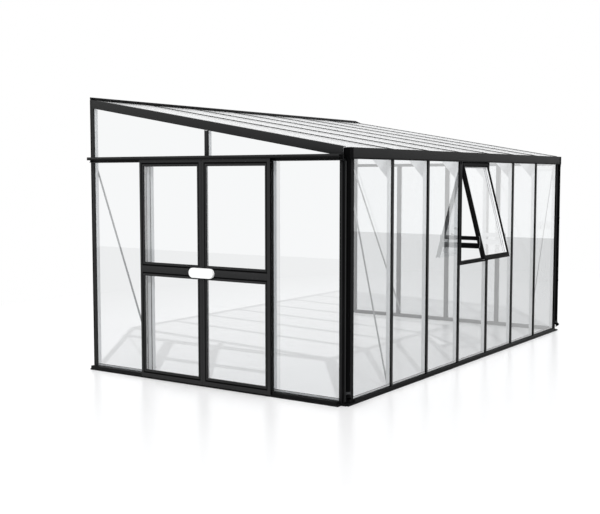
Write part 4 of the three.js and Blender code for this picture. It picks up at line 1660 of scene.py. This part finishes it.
@dataclass
class Window:
    """The top-hung window: a stepped sash with a rolled hinge, and the plates that hold it open."""

    shop: Workshop
    stile: float = 34.0
    top_rail: float = 40.0
    bottom_rail: float = 36.0
    drop: float = 996.0
    lip: float = 14.9
    inset: float = 13.0
    half: float = 18.0
    front: float = -28.0
    face: float = 22.0
    step: float = 5.0
    glass_front: float = -2.0
    glass_back: float = 3.0
    rebate: float = 10.0
    lip_depth: float = 9.0
    knuckles: int = 5
    knuckle_gap: float = 0.5
    lip_grip: float = 2.0
    lip_shown: float = 2.5
    lip_depths: tuple[Point2, ...] = ((-4.5, -1.6), (2.6, 6.0))
    stay_rise: float = 17.0
    slot_low: float = 54.0
    slot_high: float = 82.0
    slot_front: float = 20.0
    slot_back: float = 16.0
    pin_radius: float = 5.0
    opened: float = 15.0

    def build(self) -> None:
        """Builds the sash closed about its hinge line, then turns it open."""
        house, finishes = self.shop.house, self.shop.finishes
        frame = house.box("window_frame")
        self.left, self.right = frame.low.x + self.inset, frame.high.x - self.inset
        pivot = house.point(house.joints["window_hinge"]["pos_m"])
        self.swing = (Matrix.Translation((0.0, pivot.y, pivot.z))
                      @ Matrix.Rotation(-math.radians(self.opened), 4, "X"))
        self.shop.piece("window_stiles_and_rails", self._bars().turn(self.swing),
                        finishes.coat(Inner.SASH), "window", ["window_frame"])
        self.shop.piece("window_glazing_bead", self._bead().turn(self.swing),
                        finishes.coat(Inner.SASH), "window")
        self.shop.piece("window_glazing_seal", self._rubber().turn(self.swing),
                        finishes.silicone, "window")
        for side in ("left", "right"):
            self._stay(side)

    def _section(self, at: float, sign: float, width: float) -> list[Point2]:
        """A sash bar's section: place across against depth.

        Args:
            at: the sash's outer edge.
            sign: the direction from that edge to the light.
            width: the bar's width.

        Returns:
            The section's corners, as place across and depth.
        """
        bead = self.stile - self.face

        def across(distance: float) -> float:
            """A place so far from the sash's outer edge."""
            return at + sign * distance

        return [(across(0.0), self.front), (across(width - bead), self.front),
                (across(width - bead), self.glass_front),
                (across(width - self.rebate), self.glass_front),
                (across(width - self.rebate), self.glass_back),
                (across(width), self.glass_back), (across(width), self.half),
                (across(0.0), self.half)]

    def _bars(self) -> Shape:
        """Stiles, rails, the lip along the foot and the round hinge along the top.

        Returns:
            The shape.
        """
        shape = Shape()
        for edge, sign in ((self.left, 1.0), (self.right, -1.0)):
            shape.prism(self._section(edge, sign, self.stile), Plane.LEVEL, -self.drop, -1.0,
                        soft=0.8)
        shape.block((self.left, self.front, -self.drop - self.lip),
                    (self.right, self.front + self.lip_depth, 2.0 - self.drop), soft=0.8)
        start, end = self.left + self.face, self.right - self.face
        bottom = [(depth, place) for place, depth in
                  self._section(-self.drop, 1.0, self.bottom_rail)]
        shape.prism(bottom, Plane.ACROSS, start, end, soft=0.8)
        top = [(depth, place) for place, depth in self._section(0.0, -1.0, self.top_rail)]
        shape.prism(top, Plane.ACROSS, start, end)
        whole = self.right - self.left + 2 * self.inset
        knuckle = (whole - (self.knuckles - 1) * self.knuckle_gap) / self.knuckles
        for part in range(self.knuckles):
            low = self.left - self.inset + part * (knuckle + self.knuckle_gap)
            shape.drum((low + knuckle / 2, 0.0, 0.0), self.half, knuckle, (1, 0, 0), sides=40,
                       soft=0.7)
        return shape

    def _light(self) -> tuple[list[Point2], list[Point2]]:
        """The outer and inner outline of the bead round the light.

        Returns:
            The two outlines.
        """
        bead = self.stile - self.face
        left, right = self.left + self.stile, self.right - self.stile
        low, high = self.bottom_rail - self.drop, -self.top_rail
        return (rectangle(left - bead, low - bead, right + bead, high + bead),
                rectangle(left, low, right, high))

    def _bead(self) -> Shape:
        """The recessed bead round the light.

        Returns:
            The shape.
        """
        outer, inner = self._light()
        return Shape().ring(outer, inner, Plane.ALONG, self.front + self.step,
                            self.glass_front, soft=1.4)

    def _rubber(self) -> Shape:
        """The silicone on both sides of the glass.

        Returns:
            The shape.
        """
        shape = Shape()
        _, ((left, low), _, (right, high), _) = self._light()
        shown, grip = self.lip_shown, self.lip_grip
        lip = rectangle(left + shown, low + shown, right - shown, high - shown)
        edge = rectangle(left - grip, low - grip, right + grip, high + grip)
        for near, far in self.lip_depths:
            shape.ring(edge, lip, Plane.ALONG, near, far, soft=0.5)
        return shape

    def _stay(self, side: str) -> None:
        """One slotted plate with rounded ends, and the pin that joins it to the sash.

        Args:
            side: the side of the window it is on.
        """
        body = f"{side}_stay"
        node = f"{side}_window_stay"
        box = self.shop.house.box(node)
        front, back, low, high = box.low.y, box.high.y, box.low.z, box.high.z
        high += self.stay_rise
        slot = rectangle(front + self.slot_front, low + self.slot_low, back - self.slot_back,
                         low + self.slot_high)
        shape = Shape().ring(rectangle(front, low, back, high), slot, Plane.ACROSS, box.low.x,
                             box.high.x, soft=9.0, segments=6, ends=False)
        inner = Inner.LEFT_STAY if side == "left" else Inner.RIGHT_STAY
        self.shop.piece(f"{node}_plate", shape, self.shop.finishes.coat(inner), body, [node])
        pivot = self.shop.house.point(self.shop.house.joints[f"{side}_stay_pivot"]["pos_m"])
        start = box.low.x + 0.2 if side == "left" else self.right - 1.0
        end = self.left + 1.0 if side == "left" else box.high.x - 0.2
        pin = Shape().drum(((start + end) / 2, pivot.y, pivot.z), self.pin_radius, end - start,
                           (1, 0, 0), soft=0.6)
        self.shop.piece(f"{node}_pin", pin, self.shop.finishes.zinc, body)


@dataclass
class Rainware:
    """The eave gutter with its rolled lip, and the black outlet and downpipe at each end."""

    shop: Workshop
    wall: float = 3.0
    toe: float = 11.0
    set_back: float = 3.5
    back_drop: float = 20.0
    lip: float = 9.0
    outlet_start: float = 13.0
    outlet_wall: float = 4.0
    pipe_x: float = 34.0
    pipe_y: float = 0.7
    pipe_radius: float = 20.0
    pipe_wall: float = 2.4
    shoe_top: float = 98.0
    shoe_bend: float = 26.0
    shoe_reach: float = 42.0
    clips: tuple[float, float] = (640.0, 1420.0)

    def build(self) -> None:
        """Builds the gutter and both downpipes."""
        finishes = self.shop.finishes
        self.shop.piece("eave_gutter_trough", self._trough(), finishes.coat(Inner.GUTTER_BACK),
                        "frame", ["eave_gutter"])
        # The gutter's toe strip is painted shade under the fascia's lip.
        self.shop.piece("eave_gutter_shaded_toe_strip", self._shaded_toe_strip(), finishes.shade)
        self.shop.piece("near_downpipe_and_outlet", self._downpipe(False), finishes.drain, "frame",
                        ["near_downpipe"])
        self.shop.piece("far_downpipe_and_outlet", self._downpipe(True), finishes.drain, "frame",
                        ["far_downpipe"])
        for side, x in (("near", self.pipe_x), ("far", self.shop.house.length - self.pipe_x)):
            self.shop.piece(f"{side}_downpipe_collar", self._collar(x), finishes.collar)

    def _trough(self) -> Shape:
        """The folded section, open at the top, with a lip rolled back over its front.

        Returns:
            The shape.
        """
        box = self.shop.house.box("eave_gutter")
        front, back, low, high = box.low.y, box.high.y, box.low.z, box.high.z
        wall, toe, lip = self.wall, self.toe, self.lip
        behind = high - self.back_drop
        section = [
            (front + self.set_back, low), (back, low), (back, behind), (back - wall, behind),
            (back - wall, low + wall), (front + self.set_back + wall, low + wall),
            (front + self.set_back + wall, low + toe), (front + wall, low + toe + wall),
            (front + wall, high - wall), (front + lip, high - wall), (front + lip, high),
            (front, high), (front, low + toe), (front + self.set_back, low + toe)]
        return Shape().prism(section, Plane.ACROSS, box.low.x, box.high.x, soft=1.1, segments=3)

    def _shaded_toe_strip(self) -> Shape:
        """A dark strip in the recessed toe under the fascia, in the shade coat: painted shade under
        the gutter's lip.

        Returns:
            The shape.
        """
        box = self.shop.house.box("eave_gutter")
        front, low = box.low.y, box.low.z
        return Shape().prism(
            rectangle(front + 1.5, low + 1.0, front + self.set_back + 0.2, low + self.toe - 0.6),
            Plane.ACROSS, box.low.x + 0.5, box.high.x - 0.5, soft=0.5)

    def _downpipe(self, far: bool) -> Shape:
        """One downpipe: the outlet box, the pipe with its clips, and the shoe.

        Args:
            far: whether it is the one at the far end, which mirrors the near one.

        Returns:
            The shape.
        """
        house = self.shop.house
        gutter = house.box("eave_gutter")
        start, end = self.outlet_start, gutter.low.x - 0.3
        front, back, low, high = gutter.low.y, gutter.high.y, gutter.low.z, gutter.high.z
        x, y, wall, behind = self.pipe_x, self.pipe_y, self.outlet_wall, high - self.back_drop
        shape = Shape().hose(
            Vector((x, y, low + 2.0)), Vector((x, y, self.shoe_top)),
            Vector((-0.5, -0.5, -math.sqrt(0.5))), self.pipe_radius, self.shoe_bend,
            self.shoe_reach, self.pipe_wall)
        trough = [(front, low), (back, low), (back, behind), (back - wall, behind),
                  (back - wall, low + wall), (front + wall, low + wall), (front + wall, high),
                  (front, high)]
        shape.prism(trough, Plane.ACROSS, start + 2.0, end, soft=1.0)
        shape.prism([(front, low), (back, low), (back, high - 3.0), (front, high)],
                    Plane.ACROSS, start, start + wall, soft=1.0, ends=True)
        funnel = [(20.0, -34.0), (21.6, -33.0), (22.4, -16.0), (22.4, -0.4), (20.0, 0.0)]
        clip = [(20.0, -9.0), (22.3, -8.4), (22.3, 8.4), (20.0, 9.0)]
        for profile, height in ((funnel, low), *((clip, place) for place in self.clips)):
            shape.turned(profile, (x, y, height), (0, 0, 1), sides=36)
        if far:
            shape.turn(Matrix.Translation((house.length, 0, 0))
                       @ Matrix.Scale(-1, 4, (1, 0, 0)))
        return shape

    def _collar(self, x: float) -> Shape:
        """The ribbed collar above a downpipe's shoe.

        Args:
            x: where the downpipe's axis lies along the house.

        Returns:
            The shape.
        """
        profile = [(19.9, 0.0), (22.5, 0.6), (22.5, 4.0), (21.4, 5.0), (21.4, 20.0), (22.5, 21.0),
                   (22.5, 24.4), (19.9, 25.0)]
        return Shape().turned(profile, (x, self.pipe_y, self.shoe_top), (0, 0, 1), sides=36)


@dataclass
class Fittings:
    """Screws, bolts, seals, strips, ribs and caps over the whole house."""

    shop: Workshop
    head: float = 4.6
    brace_head: float = 5.2
    screw_start: float = 70.0
    screw_end: float = 110.0
    screw_pitch: float = 465.0
    washer: Point2 = (7.0, 1.2)
    dome: Point2 = (4.2, 2.4)
    cap_lip: Point2 = (13.5, 20.6)
    cap_lip_rise: Point2 = (-4.5, -2.2)
    cap_start: float = -8.0
    cap_end: float = 56.0
    sheet_gap: float = 21.0
    first_sheet: float = 46.0
    knee_places: tuple[Point2, ...] = (
        (72.0, 1962.0), (72.0, 2052.0), (132.0, 2112.0), (214.0, 2127.0))
    knee_half: float = 3.0
    anchor_inset: float = 36.0
    anchor_start: float = 97.0
    anchor_shares: Point2 = (0.22, 0.78)
    gable_anchors: int = 8
    gable_anchor_ends: Point2 = (100.0, 80.0)
    brace_inset: float = 26.0
    brace_half: float = 11.0
    liner_start: float = 34.5
    liner_width: float = 36.0
    liner_pitch: float = 12.0
    liner_back: float = -0.1
    liner_face: float = -3.0
    liner_groove: float = -1.0
    liner_groove_half: float = 2.0
    stop_size: float = 20.0
    stop_drop: float = 46.0
    stop_inset: float = 4.0
    stop_depths: Point2 = (-43.0, -12.0)
    upstand_start: float = 122.0
    upstand_inset: float = 12.0
    wall_screw_start: float = 160.0
    wall_screw_pitch: float = 440.0

    def build(self) -> None:
        """Builds each kind of fitting as one piece."""
        house, finishes = self.shop.house, self.shop.finishes
        foot = house.box("near_corner_post").low.z + 6.0
        wall = (house.depth - 12.0, house.depth - 0.4)
        # The black strips down each corner post's gable face are painted shade, standing in for the
        # shade of the recess beside the downpipe.
        strips = self._gable_strips([(24.6, 36.0)], (foot, 2070.0), out=0.9, sunk=1.0)
        ribs = self._gable_strips([(2.0, 14.0), (46.0, 56.0)], (40.0, 2066.0), out=1.4, sunk=0.5)
        seals = self._gable_strips([wall], (46.0, 2688.0), out=1.2, sunk=0.6, soft=0.4)
        for name, shape, finish in (
                ("roof_screws", self._roof_screws(), finishes.black_screw),
                ("roof_cap_seals", self._cap_seals(), finishes.rubber),
                ("roof_sheet_end_strips", self._end_strips(), finishes.bare),
                ("knee_bolts", self._knee_bolts(), finishes.zinc),
                ("sill_anchors", self._sill_anchors(), finishes.zinc),
                ("brace_bolts", self._brace_bolts(), finishes.zinc),
                ("door_jamb_liners", self._jamb_liners(), finishes.bare),
                ("door_track_stops", self._track_stops(), finishes.rubber),
                # The lip under the door hood is painted shadow.
                ("door_track_shaded_lip", self._track_shaded_lip(), finishes.shade),
                ("corner_painted_shade_strips", strips, finishes.drain),
                ("corner_post_ribs", ribs, finishes.paint),
                ("corner_post_feet", self._corner_feet(), finishes.shade),
                ("wall_post_caps", self._post_caps(), finishes.paint),
                ("wall_post_seals", seals, finishes.rubber),
                ("sill_upstands", self._upstands(14.0, 17.0, 39.0, 55.0), finishes.bare),
                ("sill_upstand_seals", self._upstands(13.0, 18.0, 55.0, 59.5), finishes.rubber),
                ("wall_post_screws", self._wall_screws(), finishes.zinc)):
            self.shop.piece(name, shape, finish)

    @staticmethod
    def _bolt(shape: Shape, place: Sequence[float], way: Sequence[float], size: float) -> None:
        """A hexagon head on a washer.

        Args:
            shape: what it is added to.
            place: the middle of the washer's underside.
            way: the direction that the head points in.
            size: the head's radius.
        """
        place, way = Vector(place), Vector(way).normalized()
        shape.drum(place + way * 0.5, size * 1.35, 1.0, way, sides=20, soft=0.25)
        shape.drum(place + way * (1.0 + size * 0.35), size, size * 0.7, way, sides=6, soft=0.5)

    def _roof_screws(self) -> Shape:
        """Domed screws down the middle of each roof cap.

        Returns:
            The shape.
        """
        house, shape = self.shop.house, Shape()
        up = Vector((0.0, -house.pitch, 1.0)).normalized()
        for line in house.lines:
            y = self.screw_start
            while y < house.depth - self.screw_end:
                foot = Vector((line, y, house.roof(y)))
                shape.drum(foot + up * 0.6, *self.washer, up, sides=20, soft=0.4)
                shape.drum(foot + up * 2.4, *self.dome, up, sides=16, soft=1.0)
                y += self.screw_pitch
        return shape

    def _cap_seals(self) -> Shape:
        """The rubber lips under both edges of each roof cap.

        Returns:
            The shape.
        """
        house, shape = self.shop.house, Shape()
        end = house.depth - self.cap_end
        foot, top = self.cap_lip_rise
        for line in house.lines:
            for sign in (-1.0, 1.0):
                near, far = sorted(line + sign * side for side in self.cap_lip)
                shape.prism(rectangle(near, foot, far, top), Plane.ALONG, self.cap_start, end,
                            soft=0.5)
        return shape.turn(house.slope())

    def _end_strips(self) -> Shape:
        """A thin channel that closes the lower end of each roof sheet.

        Returns:
            The shape.
        """
        house, shape = self.shop.house, Shape()
        edges = [self.first_sheet]
        for line in house.lines:
            edges += [line - self.sheet_gap, line + self.sheet_gap]
        edges.append(house.length - self.first_sheet)
        channel = [(-9.6, -16.0), (6.0, -16.0), (6.0, -14.6), (-8.2, -14.6), (-8.2, -4.4),
                   (6.0, -4.4), (6.0, -3.2), (-9.6, -3.2)]
        for start, end in zip(edges[::2], edges[1::2]):
            shape.prism(channel, Plane.ACROSS, start, end, soft=0.3)
        return shape.turn(house.slope())

    def _knee_bolts(self) -> Shape:
        """Two bolts through each knee plate at the post and two at the roof bar.

        Returns:
            The shape.
        """
        house, shape = self.shop.house, Shape()
        for line in house.lines:
            for y, z in self.knee_places:
                for sign in (-1.0, 1.0):
                    self._bolt(shape, (line + sign * self.knee_half, y, z), (sign, 0, 0),
                               self.head)
        return shape

    def _sill_anchors(self) -> Shape:
        """Anchor bolts on the inner flange of the sills, two to a bay.

        Returns:
            The shape.
        """
        house, shape = self.shop.house, Shape()
        lines = [self.anchor_start, *house.lines, house.length - self.anchor_start]
        top, inset = house.box("front_sill").high.z, self.anchor_inset
        places = [(start + (end - start) * share, inset) for start, end in zip(lines, lines[1:])
                  for share in self.anchor_shares]
        first, last = self.gable_anchor_ends
        pitch = (house.depth - first - last) / (self.gable_anchors + 1)
        places += [(x, first + step * pitch) for step in range(1, self.gable_anchors + 1)
                   for x in (inset, house.length - inset)]
        for x, y in places:
            self._bolt(shape, (x, y, top), (0, 0, 1), self.head)
        return shape

    def _brace_bolts(self) -> Shape:
        """A bolt at each end of each brace.

        Returns:
            The shape.
        """
        house, shape = self.shop.house, Shape()
        for node in BRACES:
            box, axis = house.box(node), int("eave" in node)
            across = 1 - axis
            rising = node != "near_eave_brace"
            for low_end in (True, False):
                place = Vector((0.0, 0.0, 0.0))
                place.z = (box.low.z + self.brace_inset if low_end
                           else box.high.z - self.brace_inset)
                run = box.high[across] - box.low[across] - 2 * self.brace_half
                share = self.brace_inset / (box.high.z - box.low.z)
                at_low = low_end is rising
                step = self.brace_half + run * share
                place[across] = box.low[across] + step if at_low else box.high[across] - step
                way = Vector((0.0, 0.0, 0.0))
                inward = -1.0 if node == "far_gable_brace" else 1.0
                place[axis] = box.low[axis] if inward < 0 else box.high[axis]
                way[axis] = inward
                self._bolt(shape, place, way, self.brace_head)
        return shape

    def _jamb_liners(self) -> Shape:
        """The ribbed bare strip on the face of each door jamb, where the leaf covers it.

        Returns:
            The shape.
        """
        house, shape = self.shop.house, Shape()
        for node, away in (("left_door_jamb", 1.0), ("right_door_jamb", -1.0)):
            box = house.box(node)
            near = (box.low.y if away > 0 else box.high.y) + away * self.liner_start
            section = [(self.liner_back, near), (self.liner_face, near)]
            for groove in range(1, 3):
                middle, half = near + away * groove * self.liner_pitch, self.liner_groove_half
                start, end = middle - away * half, middle + away * half
                section += [(self.liner_face, start), (self.liner_groove, start),
                            (self.liner_groove, end), (self.liner_face, end)]
            far = near + away * self.liner_width
            section += [(self.liner_face, far), (self.liner_back, far)]
            shape.prism(section, Plane.LEVEL, box.low.z, box.high.z - 2.0, soft=0.4)
        return shape

    def _track_stops(self) -> Shape:
        """Rubber buffers that end the doors' travel inside the track.

        Returns:
            The shape.
        """
        shape, track = Shape(), self.shop.house.box("door_header_track")
        ledge, size = track.high.z - self.stop_drop, self.stop_size
        near, far = self.stop_depths
        for y in (track.low.y + self.stop_inset, track.high.y - self.stop_inset - size):
            shape.block((near, y, ledge), (far, y + size, ledge + size), soft=3.0)
        return shape

    def _track_shaded_lip(self) -> Shape:
        """A thin lip that hangs from the hood in front of the leaves, in the shade coat: painted
        shadow, a dark line under the hood.

        Returns:
            The shape.
        """
        track = self.shop.house.box("door_header_track")
        return Shape().block((track.low.x - 0.6, track.low.y + 2.0, track.high.z - 30.0),
                             (track.low.x + 1.6, track.high.y - 2.0, track.high.z - 17.0), soft=0.5)

    def _gable_strips(self, runs: Sequence[Point2], rise: Point2, out: float, sunk: float,
                      soft: float = 0.5) -> Shape:
        """Upright strips on the face of both gables, such as the corner posts' ribs.

        Args:
            runs: where each strip starts and ends across the gable.
            rise: the height of their feet and tops.
            out: how far they stand out of the face.
            sunk: how far they are let into it.
            soft: how far their edges are rounded.

        Returns:
            The shape.
        """
        house, shape = self.shop.house, Shape()
        for face, sign in ((0.0, 1.0), (house.length, -1.0)):
            near, far = sorted((face - sign * out, face + sign * sunk))
            for start, end in runs:
                shape.block((near, start, rise[0]), (far, end, rise[1]), soft)
        return shape

    def _corner_feet(self) -> Shape:
        """The block under each corner post, between the two sills; its dark shade coat is painted
        shade at the post's foot.

        Returns:
            The shape.
        """
        house, shape = self.shop.house, Shape()
        for start, end in ((0.6, 60.0), (house.length - 60.0, house.length - 0.6)):
            shape.block((start, 0.6, 0.4), (end, 50.0, 15.6), soft=0.8)
        return shape

    def _post_caps(self) -> Shape:
        """The cap between each wall post and the wall bar above it.

        Returns:
            The shape.
        """
        house, shape = self.shop.house, Shape()
        for node in ("door_gable_wall_post", "far_gable_wall_post"):
            box = house.box(node)
            shape.block((box.low.x + 0.4, box.low.y + 0.5, box.high.z - 6.0),
                        (box.high.x - 0.4, box.high.y - 0.4, box.high.z + 12.0))
        return shape

    def _upstands(self, near: float, far: float, low: float, high: float) -> Shape:
        """Strips behind the foot of the eave's and the door gable's fixed panes.

        Args:
            near: their near side, behind the outer face of the glass.
            far: their far side.
            low: their foot.
            high: their top.

        Returns:
            The shape.
        """
        house, shape = self.shop.house, Shape()
        shape.block((self.upstand_start, near, low),
                    (house.length - self.upstand_start, far, high), soft=0.4)
        for node in ("door_gable_left_pane", "door_gable_right_pane"):
            box = house.box(node)
            shape.block((near, box.low.y + self.upstand_inset, low),
                        (far, box.high.y - self.upstand_inset, high), soft=0.4)
        return shape

    def _wall_screws(self) -> Shape:
        """Screws through the inner side of both wall posts.

        Returns:
            The shape.
        """
        house, shape = self.shop.house, Shape()
        for x, way in ((house.frame_depth, 1.0), (house.length - house.frame_depth, -1.0)):
            for step in range(6):
                z = self.wall_screw_start + step * self.wall_screw_pitch
                self._bolt(shape, (x, house.depth - 20.0, z), (way, 0, 0), self.head)
        return shape


# ---------------------------------------------------------------- studio


@dataclass(frozen=True)
class StudioFloor(Finish):
    """A pale floor that keeps the house's shadow close by, and fades to white further off."""

    near: float = 3.4
    far: float = 6.5
    pale: Colour = (0.97, 0.97, 0.975)
    mirrored: float = 0.60

    def shader(self, graph: Graph) -> Socket:
        """Real floor near the house, plain white far away, and a darker floor in reflections.

        Args:
            graph: the tree to build in.

        Returns:
            The finished shader's socket.
        """
        x, y, _ = graph.axes()
        reach = graph.math("POWER", (x * 0.62) * (x * 0.62) + y * y, 0.5)
        fade = ((reach - self.near) / (self.far - self.near)).held()
        rays = graph.node("ShaderNodeLightPath")
        real = self.principled(graph, {
            "Base Color": (*self.pale, 1.0), "Roughness": 0.28, "Specular IOR Level": 0.3})
        white = graph.node("ShaderNodeEmission", None, {"Color": (1.0, 1.0, 1.0, 1.0)}).outputs[0]
        dark = graph.node("ShaderNodeEmission", None, {
            "Color": (self.mirrored, self.mirrored, self.mirrored, 1.0)}).outputs[0]
        camera = Value(graph, rays.outputs["Is Camera Ray"])
        seen = graph.mix(fade * camera, real, white)
        return graph.mix(rays.outputs["Is Glossy Ray"], seen, dark)


@dataclass
class Studio:
    """The floor, the soft light and the camera of the photograph."""

    house: House
    place: Point3 = (-7.07182, -4.32695, 1.93773)
    heading: float = 55.8616
    pitch: float = 4.62743
    lens: float = 59.8123
    sensor: float = 36.0
    floor_start: float = -12.7
    floor_end: float = 23.1
    floor_depth: float = 30.0
    daylight: float = 0.78
    sun: float = 1.7
    sun_size: float = 0.8
    sun_way: Point3 = (0.577, 0.421, -0.700)

    def build(self) -> None:
        """Sets up the whole studio."""
        self._camera()
        self._floor()
        self._world()
        self._lamp("key_light", self.sun, self.sun_size, self.sun_way)
        bpy.context.scene.view_settings.view_transform = "Standard"

    def _camera(self) -> None:
        """The camera, at the photograph's angle."""
        data = bpy.data.cameras.new("camera")
        data.lens = self.lens
        data.sensor_width = self.sensor
        data.clip_end = 200.0
        camera = bpy.data.objects.new("camera", data)
        heading, pitch = math.radians(self.heading), math.radians(self.pitch)
        aim = Vector((math.sin(heading) * math.cos(pitch), math.cos(heading) * math.cos(pitch),
                      -math.sin(pitch)))
        camera.location = self.house.origin + Vector(self.place)
        camera.rotation_euler = aim.to_track_quat("-Z", "Y").to_euler()
        bpy.context.scene.collection.objects.link(camera)
        bpy.context.scene.camera = camera

    def _floor(self) -> None:
        """One wide level plane."""
        shape = bmesh.new()
        start = self.house.origin.x + self.floor_start
        end = self.house.origin.x + self.floor_end
        made = bmesh.ops.create_grid(shape, x_segments=1, y_segments=1, size=0.5)["verts"]
        bmesh.ops.scale(shape, vec=(end - start, self.floor_depth * 2, 1.0), verts=made)
        bmesh.ops.translate(shape, vec=((start + end) / 2, 0.0, 0.0), verts=made)
        data = bpy.data.meshes.new("studio_floor")
        shape.to_mesh(data)
        shape.free()
        data.materials.append(StudioFloor("studio_floor").material())
        floor = bpy.data.objects.new("studio_floor", data)
        bpy.context.scene.collection.objects.link(floor)
        floor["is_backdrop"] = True

    def _world(self) -> None:
        """An even sky that lights softly and looks white."""
        world = bpy.data.worlds.new("studio")
        world.use_nodes = True
        bpy.context.scene.world = world
        graph = Graph(world.node_tree)
        rays = graph.node("ShaderNodeLightPath")
        seen = (Value(graph, rays.outputs["Is Camera Ray"])
                + Value(graph, rays.outputs["Is Glossy Ray"])
                + Value(graph, rays.outputs["Is Transmission Ray"])).held()
        soft, white = (
            graph.node("ShaderNodeBackground", None, {
                "Color": (1.0, 1.0, 1.0, 1.0), "Strength": strength}).outputs[0]
            for strength in (self.daylight, 1.0))
        graph.output(graph.mix(seen, soft, white), "ShaderNodeOutputWorld")

    @staticmethod
    def _lamp(name: str, power: float, size: float, aim: Point3) -> None:
        """A wide soft sun.

        Args:
            name: the lamp's name.
            power: its strength.
            size: its apparent width in degrees.
            aim: the direction that it shines in.
        """
        data = bpy.data.lights.new(name, "SUN")
        data.energy = power
        data.angle = math.radians(size)
        lamp = bpy.data.objects.new(name, data)
        lamp.rotation_euler = Vector(aim).to_track_quat("-Z", "Y").to_euler()
        bpy.context.scene.collection.objects.link(lamp)


def corners(box: Sequence[Vector]) -> list[list[float]]:
    """A box's corners as plain lists."""
    return [list(corner) for corner in box]


def main() -> None:
    """Loads the frame, builds every sub-assembly and reports each piece."""
    logging.basicConfig(level=logging.INFO, format="%(name)s: %(message)s")
    house = House(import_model())
    frame_box = corners(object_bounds())
    shop = Workshop(house)
    Studio(house).build()
    Bars(shop).build()
    Glazing(shop).build()
    DoorLeaf(shop, "left", house.box("left_door_frame").low.y).build()
    DoorLeaf(shop, "right", house.box("right_door_frame").high.y).build()
    Window(shop).build()
    Rainware(shop).build()
    Fittings(shop).build()
    bpy.context.view_layer.update()
    {"frame": frame_box, "dressed": corners(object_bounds())}


if __name__ == "__main__":
    main()
